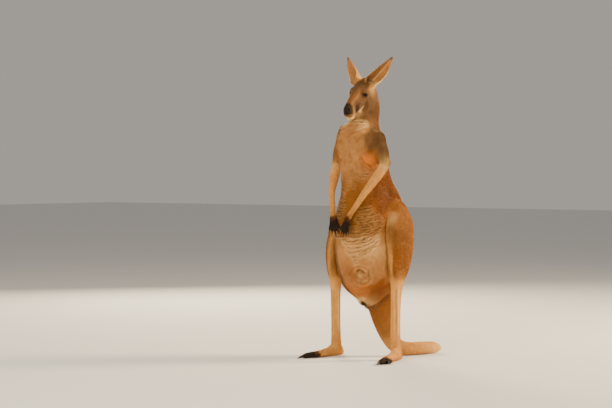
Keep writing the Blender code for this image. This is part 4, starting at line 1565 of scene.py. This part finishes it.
    def ears(self, canvas: Canvas) -> None:
        """Paints the ears: greyer backs, warm insides, pale rims and roots, dark tips.

        Args:
            canvas: the points to paint.
        """
        points = canvas.points
        for side in Side:
            ear = canvas.part(f"ear_{side.word}")
            shell = EarShell(self.anatomy, side)
            along, width = shell.place(points)
            facing = ramp(canvas.normals @ shell.mouth, -0.25, 0.35)
            canvas.lay(Shade.GREY_TAN, 0.85 * ear * (1 - facing))
            canvas.lay(Shade.EAR_INSIDE, 0.95 * ear * facing)
            deep = facing * ramp(along, 0.42, 0.18) * ramp(np.abs(width), 0.8, 0.3)
            canvas.lay(Shade.BROWN, 0.35 * ear * deep)
            if side is Side.LEFT:
                canvas.lay(Shade.GREY_TAN, 0.55 * ear * facing * ramp(width, -0.20, -0.32))
                canvas.lay(Shade.PALE, 0.80 * ear * facing * hill(width, -0.18, 0.09))
            else:
                canvas.lay(Shade.GREY_TAN, 0.35 * ear * facing * hill(width, 0.1, 0.45))
            rim = 0.85 * ear * ramp(np.abs(width), 0.80, 0.95)
            canvas.lay(Shade.CREAM, rim * ramp(along, 0.98, 0.85))
            canvas.lay(Shade.GREY_BROWN, 0.8 * ear * ramp(along, 0.90, 0.97))
            around = ear + canvas.part("head")
            base = around * patch(points, shell.root + shell.outward * 0.018, 0.024)
            canvas.lay(Shade.CREAM, 0.7 * base)
            spot = shell.root + shell.mouth * 0.030 - shell.outward * 0.004 - shell.axis * 0.010
            canvas.lay(Shade.RUST, 0.9 * around * patch(points, spot, 0.012))


# ---------------------------------------------------------------- the skin
@dataclass
class Skin:
    """One closed skin over all the flesh, set in by the coat's depth."""

    anatomy: Anatomy
    relief: Relief
    voxel: float = 0.0026
    quick_voxel: float = 0.0042
    overlap: float = 0.0008
    most_triangles: int = 186_000
    coat_depth: float = 0.0034
    eye_room: float = 0.0012
    depth_rounds: int = 14
    share_rounds: int = 10
    even_rounds: int = 70
    even_step: float = 0.75
    depths: dict = field(
        default_factory=lambda: {
            "head": 0.45, "ear": 0.25, "hand": 0.35, "forearm": 0.6, "foot": 0.45, "shank": 0.6
        }
    )
    evening: dict = field(
        default_factory=lambda: {
            "head": 0.22, "ear": 0.12, "hand": 0.0, "forearm": 0.6, "foot": 0.12, "shank": 0.6
        }
    )
    thinning: dict = field(
        default_factory=lambda: {"head": 0.0, "hand": 0.15, "ear": 0.45, "foot": 0.4}
    )

    def by_part(self, table: dict, owner: np.ndarray) -> np.ndarray:
        """A number for each point from a table by part; parts not in it get 1."""
        kinds = [name if name in SINGLE else name.rsplit("_", 1)[0] for name in self.anatomy.flesh]
        return np.array([table.get(kind, 1.0) for kind in kinds])[owner]

    def gather(self) -> bpy.types.Object:
        """Joins the flesh solids, each grown a little so that they overlap.

        Returns:
            One object with all of them.
        """
        shape = bmesh.new()
        for name in self.anatomy.flesh:
            part = bmesh.new()
            part.from_mesh(frame["nodes"][name].data)
            bmesh.ops.remove_doubles(part, verts=part.verts, dist=SAME_PLACE)
            part.normal_update()
            for vertex in part.verts:
                vertex.co += vertex.normal * self.overlap
            copy = bpy.data.meshes.new("grown")
            part.to_mesh(copy)
            part.free()
            shape.from_mesh(copy)
            bpy.data.meshes.remove(copy)
        for side in Side:
            low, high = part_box(f"eye_{side.word}")
            plug = (high.z - low.z) / 2 + self.eye_room
            place = Matrix.Translation((low + high) / 2)
            bmesh.ops.create_icosphere(shape, subdivisions=3, radius=plug, matrix=place)
        mesh = bpy.data.meshes.new("skin")
        shape.to_mesh(mesh)
        shape.free()
        skin = bpy.data.objects.new("skin", mesh)
        bpy.context.scene.collection.objects.link(skin)
        return skin

    def refine(self, skin: bpy.types.Object) -> None:
        """Gives the eyes and the muzzle's end a finer mesh.

        Args:
            skin: the skin.
        """
        shape = bmesh.new()
        shape.from_mesh(skin.data)
        bmesh.ops.triangulate(shape, faces=shape.faces)
        eyes = [np.array(sum(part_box(f"eye_{side.word}"), Vector()) / 2) for side in Side]
        muzzle = self.anatomy.in_head((0, -0.135, -0.045))
        for centres, reach in (([*eyes, muzzle], 0.030), (eyes, 0.022)):
            shape.verts.ensure_lookup_table()
            points = np.array([vertex.co for vertex in shape.verts])
            away = np.min([((points - centre) ** 2).sum(1) for centre in centres], axis=0)
            near = set()
            for index in np.nonzero(away < reach**2)[0]:
                near.update(shape.verts[index].link_edges)
            bmesh.ops.subdivide_edges(shape, edges=list(near), cuts=1, use_grid_fill=True)
            bmesh.ops.triangulate(shape, faces=[f for f in shape.faces if len(f.verts) > 3])
        shape.to_mesh(skin.data)
        shape.free()

    def build(self) -> bpy.types.Object:
        """Models the skin.

        Returns:
            The finished skin, without its finish.
        """
        skin = self.gather()
        work(skin, "REMESH", mode="VOXEL", voxel_size=self.voxel)
        self.refine(skin)
        mesh = skin.data
        neighbours = Neighbours(mesh)
        owner = self.anatomy.owners(points_of(mesh))
        points = self.even_out(points_of(mesh), neighbours, owner)
        move_points(mesh, points)
        depth = neighbours.average(self.by_part(self.depths, owner), self.depth_rounds) * self.coat_depth
        points = points - normals_of(mesh) * depth[:, None]
        move_points(mesh, points)
        share = np.zeros((len(points), len(self.anatomy.flesh)))
        share[np.arange(len(points)), owner] = 1.0
        share = neighbours.average(share, self.share_rounds)
        points = points + normals_of(mesh) * self.relief.height(points, owner, share)[:, None]
        head = np.nonzero(owner == self.anatomy.flesh.index("head"))[0]
        for side in Side:
            points[head] = Lids(self.anatomy, side).shape(points[head])
        points[:, 2] = np.maximum(points[:, 2], LOWEST)
        move_points(mesh, points)
        self.thin(skin, owner)
        return skin

    def even_out(self, points: np.ndarray, neighbours: Neighbours, owner: np.ndarray) -> np.ndarray:
        """Rounds the flat facets away, least where the form is fine.

        Args:
            points: the mesh's points.
            neighbours: which of them share an edge.
            owner: the part each point belongs to.

        Returns:
            Their new places.
        """
        share = neighbours.average(self.by_part(self.evening, owner), 16)[:, None]
        for _ in range(self.even_rounds):
            around = np.add.reduceat(points[neighbours.others], neighbours.first, axis=0)
            around /= neighbours.counts[:, None]
            points = points + self.even_step * share * (around - points)
        return points

    def thin(self, skin: bpy.types.Object, owner: np.ndarray) -> None:
        """Thins the mesh to its budget, least on the head and hands.

        Args:
            skin: the skin.
            owner: the part each of its points belongs to.
        """
        weights = self.by_part(self.thinning, owner)
        group = skin.vertex_groups.new(name="thin_here")
        for weight in np.unique(weights):
            group.add(np.nonzero(weights == weight)[0].tolist(), float(weight), "REPLACE")
        count = len(skin.data.polygons)
        ratio = min(1.0, self.most_triangles / count)
        settings = {"vertex_group": "thin_here", "vertex_group_factor": 1.0}
        work(skin, "DECIMATE", ratio=ratio, use_collapse_triangulate=True, **settings)
        if len(skin.data.polygons) > self.most_triangles:
            work(skin, "DECIMATE", ratio=self.most_triangles / len(skin.data.polygons))
        skin.vertex_groups.clear()
        skin.data.shade_smooth()
        log.info("skin: %d triangles from %d", len(skin.data.polygons), count)


@dataclass
class Surface:
    """The finished skin's points with what the coat needs to know at each."""

    anatomy: Anatomy
    mesh: bpy.types.Mesh
    markings: Markings
    swirl: float = 0.22
    swirl_size: float = 0.06

    def __post_init__(self) -> None:
        """Works out parts, lie and colour at each point."""
        self.points = points_of(self.mesh)
        self.normals = normals_of(self.mesh)
        self.corners = corners_of(self.mesh)
        self.owner = self.anatomy.owners(self.points)
        neighbours = Neighbours(self.mesh)
        share = np.zeros((len(self.points), len(self.anatomy.flesh)))
        share[np.arange(len(self.points)), self.owner] = 1.0
        self.share = neighbours.average(share, 8)
        self.colour = self.markings.paint(self.points, self.normals, self.share)
        lie = sum(
            self.share[:, index, None] * self.direction(name)
            for index, name in enumerate(self.anatomy.flesh)
        )
        seeds = (51, 52, 53)
        swirl = np.stack([ripple(self.points, self.swirl_size, seed) for seed in seeds], axis=1)
        lie = lie + self.swirl * swirl
        lie -= (lie * self.normals).sum(1, keepdims=True) * self.normals
        self.lie = unit(neighbours.average(unit(lie), 4))

    def direction(self, name: str) -> np.ndarray:
        """The way the hair lies on a part: along it, away from the nose.

        Args:
            name: the part.

        Returns:
            A step of length 1.
        """
        start, end = (np.array(p) for p in self.anatomy.lines[name])
        step = (end - start) / np.linalg.norm(end - start)
        if name == "neck":
            step = -step
        return step

    def paint(self) -> None:
        """Writes the colours on the mesh."""
        paint_mesh(self.mesh, self.colour)


def paint_mesh(mesh: bpy.types.Mesh, colour: np.ndarray) -> None:
    """Writes a colour for each point.

    Args:
        mesh: the mesh.
        colour: colours in linear light, one row a point.
    """
    layer = mesh.attributes.new(PAINT, "FLOAT_COLOR", "POINT")
    rows = np.concatenate([colour, np.ones((len(colour), 1))], axis=1)
    layer.data.foreach_set("color", rows.astype(np.float32).ravel())


# ---------------------------------------------------------------- the coat
@dataclass(frozen=True)
class Tuft:
    """One tuft's size and stance."""

    length: float
    width: float
    thickness: float
    lift: float


class Lay(Enum):
    """How the coat lies on a part."""

    FACE = Tuft(0.0052, 0.0010, 0.00030, 0.10)
    EAR = Tuft(0.0056, 0.0010, 0.00028, 0.10)
    HAND = Tuft(0.0055, 0.0011, 0.00035, 0.12)
    SLEEK = Tuft(0.0078, 0.0013, 0.00035, 0.09)
    NECK = Tuft(0.0096, 0.0014, 0.00038, 0.09)
    BODY = Tuft(0.0132, 0.0017, 0.00045, 0.095)


@dataclass(frozen=True)
class CoatPiece:
    """A stretch of the coat: the parts it covers, its tufts, and the heights it spans."""

    name: str
    parts: tuple
    lay: Lay
    tufts: int
    low: float = -1.0
    high: float = 9.0


COAT = (
    CoatPiece("coat_head", ("head",), Lay.FACE, 30000),
    CoatPiece("coat_ears", ("ear_left", "ear_right"), Lay.EAR, 16000),
    CoatPiece("coat_neck", ("neck", "upper_arm_left", "upper_arm_right"), Lay.NECK, 31000),
    CoatPiece("coat_breast", ("trunk",), Lay.BODY, 26000, 0.93),
    CoatPiece("coat_flanks", ("trunk",), Lay.BODY, 30000, 0.66, 0.93),
    CoatPiece("coat_belly", ("trunk",), Lay.BODY, 28000, -1.0, 0.66),
    CoatPiece("coat_thighs", ("thigh_left", "thigh_right"), Lay.BODY, 22000),
    CoatPiece("coat_arms", ("forearm_left", "forearm_right"), Lay.SLEEK, 14000),
    CoatPiece("coat_hands", ("hand_left", "hand_right"), Lay.HAND, 8000),
    CoatPiece("coat_legs", ("shank_left", "shank_right", "foot_left", "foot_right"), Lay.SLEEK, 25000),
    CoatPiece("coat_tail", ("tail_root", "tail_middle", "tail_end"), Lay.BODY, 19000),
)


@dataclass
class Coat:
    """Grows the coat's tufts on the skin, piece by piece."""

    surface: Surface
    seed: int = 20
    vary: tuple = (0.7, 1.3)
    stray: float = 0.16
    raised_lift: float = 0.09
    raised_from: float = 0.965
    blade_shades: tuple = (0.80, 0.95, 0.95, 1.00, 1.12)
    tone_spread: float = 0.10
    warmth_spread: float = 0.03
    map_size: float = 0.0015

    def build(self, piece: CoatPiece, order: int) -> bpy.types.Mesh:
        """Models one stretch of the coat.

        Args:
            piece: what it covers.
            order: its place in the list, which seeds it.

        Returns:
            Its mesh, painted and unwrapped.
        """
        source = np.random.default_rng(self.seed + order)
        surface = self.surface
        flesh = surface.anatomy.flesh
        wanted = np.isin(surface.owner, [flesh.index(name) for name in piece.parts])
        height = surface.points[:, 2]
        wanted &= (height >= piece.low) & (height < piece.high)
        corners = surface.corners[wanted[surface.corners].sum(1) >= 2]
        a, b, c = (surface.points[corners[:, index]] for index in range(3))
        area = np.linalg.norm(np.cross(b - a, c - a), axis=1)
        count = int(piece.tufts * (1.0))
        spread = (np.arange(count) + source.uniform(0, 1, count)) / count
        chosen = np.searchsorted(np.cumsum(area) / area.sum(), spread).clip(0, len(corners) - 1)
        first, second = source.uniform(0, 1, (2, count))
        flip = first + second > 1
        first[flip], second[flip] = 1 - first[flip], 1 - second[flip]
        weights = np.stack([1 - first - second, first, second], axis=1)[:, :, None]
        picked = corners[chosen]
        root = (surface.points[picked] * weights).sum(1)
        normal = unit((surface.normals[picked] * weights).sum(1))
        lie = unit((surface.lie[picked] * weights).sum(1))
        share = (surface.share[picked] * weights).sum(1)
        colour = surface.markings.paint(root, normal, share)
        keep = source.uniform(0, 1, count) > self.bare(root)
        fields = [values[keep] for values in (root, normal, lie, colour)]
        return self.grow(piece, source, *fields)

    def shortening(self, piece: CoatPiece, root: np.ndarray) -> np.ndarray:
        """How long the hair is, shorter over the wrinkled belly.

        Args:
            piece: the stretch it belongs to.
            root: where each tuft starts.

        Returns:
            The share of the tuft's full length.
        """
        if "trunk" not in piece.parts:
            return np.ones(len(root))
        around = np.abs(self.surface.markings.relief.around_trunk(root))
        bare = ramp(around, 1.5, 0.9) * ramp(root[:, 2], 0.40, 0.50) * ramp(root[:, 2], 1.02, 0.90)
        return 1 - 0.45 * bare

    def bare(self, root: np.ndarray) -> np.ndarray:
        """Where no hair grows: the nose, the lids and the soles.

        Args:
            root: where each tuft would start.

        Returns:
            How bare each place is, from 0 to 1.
        """
        anatomy = self.surface.anatomy
        own = anatomy.to_head(root)
        bare = ramp(own[:, 1], -0.146, -0.150) * ramp(own[:, 2], -0.048, -0.041)
        for side in Side:
            rim, distance, _ = Lids(anatomy, side).edge(root)
            bare = np.maximum(bare, (rim < 0.0035) & (distance < 0.022))
        return np.maximum(bare, root[:, 2] < 0.004)

    def grow(
        self,
        piece: CoatPiece,
        source: np.random.Generator,
        root: np.ndarray,
        normal: np.ndarray,
        lie: np.ndarray,
        colour: np.ndarray,
    ) -> bpy.types.Mesh:
        """Turns roots into closed, curved tufts.

        Args:
            piece: the stretch they belong to.
            source: seeded random numbers.
            root: where each tuft starts.
            normal: the skin's normal there.
            lie: the way it lies.
            colour: its colour.

        Returns:
            The tufts' mesh.
        """
        tuft = piece.lay.value
        count = len(root)
        vary = source.uniform(*self.vary, (3, count, 1))
        stray = source.normal(0, self.stray, (count, 1))
        across = unit(np.cross(normal, lie))
        lie = unit(lie + stray * across)
        across = unit(np.cross(normal, lie))
        length = tuft.length * vary[0] * self.shortening(piece, root)[:, None]
        width = tuft.width * vary[1]
        raised = source.uniform(0, 1, (count, 1)) > self.raised_from
        lift = tuft.lift * vary[2] + self.raised_lift * raised
        middle = root + lie * length * 0.36 + normal * length * lift * 0.55
        side = across * width * 0.5
        tip = root + lie * length + normal * length * lift
        rows = [
            root - normal * tuft.thickness * 1.6,
            middle - side,
            middle + side,
            middle + normal * tuft.thickness,
            tip,
        ]
        points = np.stack(rows, axis=1)
        points[:, :, 2] = np.maximum(points[:, :, 2], LOWEST)
        pattern = [(0, 3, 1), (0, 2, 3), (0, 1, 2), (4, 1, 3), (4, 3, 2), (4, 2, 1)]
        triangles = (np.array(pattern)[None] + 5 * np.arange(count)[:, None, None]).reshape(-1, 3)
        mesh = mesh_from(piece.name, points.reshape(-1, 3), triangles)
        tone = source.normal(1.0, self.tone_spread, (count, 1, 1)).clip(0.72, 1.32)
        warm = source.normal(0.0, self.warmth_spread, (count, 1, 1))
        shading = np.array(self.blade_shades)[None, :, None]
        shade = colour[:, None, :] * shading * tone * (1 + warm * np.array((1, 0, -1)))
        paint_mesh(mesh, np.clip(shade, 0, 1).reshape(-1, 3))
        self.unwrap(mesh, piece, root, count)
        return mesh

    def unwrap(self, mesh: bpy.types.Mesh, piece: CoatPiece, root: np.ndarray, count: int) -> None:
        """Maps each tuft to a small patch at its root's place on the unwrapped skin.

        Args:
            mesh: the tufts.
            piece: the stretch they belong to.
            root: each tuft's root.
            count: the number of tufts.
        """
        anatomy = self.surface.anatomy
        place = np.zeros((count, 2))
        clouds = [anatomy.clouds[name] for name in piece.parts]
        owner = np.argmin([np.linalg.norm(root - cloud.mean(0), axis=1) for cloud in clouds], axis=0)
        for index, name in enumerate(piece.parts):
            mine = owner == index
            start, end = (np.array(p) for p in anatomy.lines[name])
            axis = (end - start) / np.linalg.norm(end - start)
            side = np.cross(axis, (0.0, 1.0, 0.1))
            side /= np.linalg.norm(side)
            other = np.cross(axis, side)
            away = root[mine] - (start + end) / 2
            along = away @ axis
            low, high = (along.min(), along.max()) if mine.any() else (0, 1)
            turn = np.arctan2(away @ side, away @ other) / (2 * math.pi) + 0.5
            rise = (along - low) / max(high - low, 1e-6)
            column = (index + 0.02 + 0.96 * turn) / len(piece.parts)
            place[mine] = np.stack([column, 0.01 + 0.98 * rise], axis=1)
        blade = np.array([(0, -1), (-1, -0.1), (1, -0.1), (0, 0), (0, 1)]) * self.map_size
        spots = (place[:, None, :] + blade[None]).reshape(-1, 2)
        layer = mesh.uv_layers.new(name="OFBake")
        used = np.empty(len(mesh.loops), np.int32)
        mesh.loops.foreach_get("vertex_index", used)
        layer.data.foreach_set("uv", spots[used].astype(np.float32).ravel())


# ---------------------------------------------------------------- eyes and claws
@dataclass
class Eyeball:
    """A smooth eyeball with a raised, glossy front."""

    side: Side
    finish: EyeFinish = EyeFinish()
    bulge: float = 1.06
    front: float = 0.72

    def build(self) -> bpy.types.Object:
        """Models the eyeball over its solid.

        Returns:
            The finished eye.
        """
        node = f"eye_{self.side.word}"
        low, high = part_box(node)
        radius = (high.z - low.z) / 2
        middle = (low + high) / 2
        deselect()
        bpy.ops.mesh.primitive_uv_sphere_add(segments=48, ring_count=32, radius=radius, location=middle)
        eye = bpy.context.object
        bpy.ops.object.mode_set(mode="EDIT")
        bpy.ops.mesh.select_all(action="DESELECT")
        bpy.ops.object.mode_set(mode="OBJECT")
        for vertex in eye.data.vertices:
            vertex.select = vertex.co.x * self.side.value > radius * self.front
        bpy.ops.object.mode_set(mode="EDIT")
        bpy.ops.transform.resize(value=(self.bulge, 1, 1), center_override=middle)
        bpy.ops.object.mode_set(mode="OBJECT")
        bpy.ops.object.transform_apply(location=True, rotation=True, scale=True)
        eye.name = f"{node}_wet"
        eye.data.shade_smooth()
        eye.data.materials.append(self.finish.make())
        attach(eye, "root")
        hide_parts(node)
        return eye


@dataclass
class Claws:
    """Smooth, tapering horn over every claw solid."""

    finish: HornFinish = HornFinish()

    def build(self) -> int:
        """Models the claws.

        Returns:
            How many were made.
        """
        horn = self.finish.make()
        names = sorted(name for name in frame["nodes"] if "claw" in name)
        for name in names:
            deselect()
            claw = bpy.data.objects.new(f"{name}_horn", frame["nodes"][name].data.copy())
            bpy.context.scene.collection.objects.link(claw)
            claw.data.materials.clear()
            choose(claw)
            bpy.ops.object.mode_set(mode="EDIT")
            bpy.ops.mesh.select_all(action="SELECT")
            bpy.ops.mesh.remove_doubles(threshold=SAME_PLACE)
            bpy.ops.mesh.tris_convert_to_quads()
            bpy.ops.object.mode_set(mode="OBJECT")
            work(claw, "SUBSURF", levels=2, render_levels=2)
            claw.data.shade_smooth()
            claw.data.materials.append(horn)
            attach(claw, "root")
            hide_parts(name)
        return len(names)


# ---------------------------------------------------------------- the studio
@dataclass
class Studio:
    """A plain pale floor, soft light and the camera."""

    focal: float = 108.2
    distance: float = 10.0
    turn: float = math.radians(35)
    eye_level: float = 1.049
    aim_side: float = math.radians(1.85213)
    aim_down: float = math.radians(1.21424)
    stand_at: tuple = (MIDDLE_X, -0.0983)

    def build(self) -> None:
        """Sets floor, lights and camera."""
        self.floor()
        self.lamp("key", (3.6, 3.4, 3.4), 1.6, 740.0, (1.0, 0.78, 0.50))
        self.lamp("left_rim", (-4.0, 3.2, 2.6), 2.0, 330.0, (1.0, 0.82, 0.56))
        self.lamp("front", (1.5, -5.5, 3.0), 4.5, 330.0, (1.0, 0.88, 0.68))
        self.lamp("left_fill", (-4.5, -3.0, 2.5), 3.5, 90.0, (1.0, 0.88, 0.68))
        world = bpy.data.worlds.new("studio_air")
        world.use_nodes = True
        world.node_tree.nodes["Background"].inputs[0].default_value = (1.0, 0.93, 0.84, 1)
        world.node_tree.nodes["Background"].inputs[1].default_value = 0.40
        bpy.context.scene.world = world
        self.camera()

    def floor(self) -> None:
        """A wide floor, level with the soles."""
        deselect()
        bpy.ops.mesh.primitive_plane_add(size=60, location=(0, 0, CAD_BOX[0][2] - 0.0005))
        floor = bpy.context.object
        bpy.ops.object.transform_apply(location=True, rotation=True, scale=True)
        floor.name = "floor"
        floor.data.materials.append(FloorFinish().make())

    def lamp(self, name: str, place: tuple, size: float, power: float, colour: tuple) -> None:
        """Adds a soft square lamp that faces the animal's middle.

        Args:
            name: its name.
            place: where it hangs.
            size: its side.
            power: its power.
            colour: its colour.
        """
        light = bpy.data.lights.new(name, "AREA")
        light.size = size
        light.energy = power
        light.color = colour
        lamp = bpy.data.objects.new(name, light)
        bpy.context.scene.collection.objects.link(lamp)
        lamp.location = place
        lamp.rotation_euler = (Vector((0, 0, 0.8)) - Vector(place)).to_track_quat("-Z", "Y").to_euler()

    def camera(self) -> None:
        """The camera, to the front left of the animal at chest height."""
        data = bpy.data.cameras.new("camera")
        data.lens = self.focal
        data.sensor_width = 36.0
        camera = bpy.data.objects.new("camera", data)
        bpy.context.scene.collection.objects.link(camera)
        out = Vector((math.sin(self.turn), -math.cos(self.turn), 0))
        camera.location = Vector((*self.stand_at, self.eye_level)) + out * self.distance
        camera.rotation_mode = "XYZ"
        level = math.pi / 2 - self.aim_down
        camera.rotation_euler = (level, 0, self.turn + self.aim_side)
        data.clip_end = 100
        bpy.context.scene.camera = camera


def main() -> None:
    """Builds the studio, the skin, its coat, the eyes and the claws."""
    deselect()
    Studio().build()
    anatomy = Anatomy()
    anatomy.measure()
    relief = Relief(anatomy)
    skin = Skin(anatomy, relief).build()
    surface = Surface(anatomy, skin.data, Markings(anatomy, relief))
    surface.paint()
    skin.data.materials.clear()
    skin.data.materials.append(CoatFinish("skin_coat").make())
    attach(skin, "root")
    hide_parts(*anatomy.flesh)
    hair = CoatFinish("coat_hair", bump_height=0.0).make()
    coat = Coat(surface)
    for order, piece in enumerate(COAT):
        grown = shown(piece.name, coat.build(piece, order), hair)
        log.info("%s: %d triangles", piece.name, len(grown.data.polygons))
    for side in Side:
        log.info("%s", Eyeball(side).build().name)
    log.info("claws: %d", Claws().build())


if __name__ == "__main__":
    main()
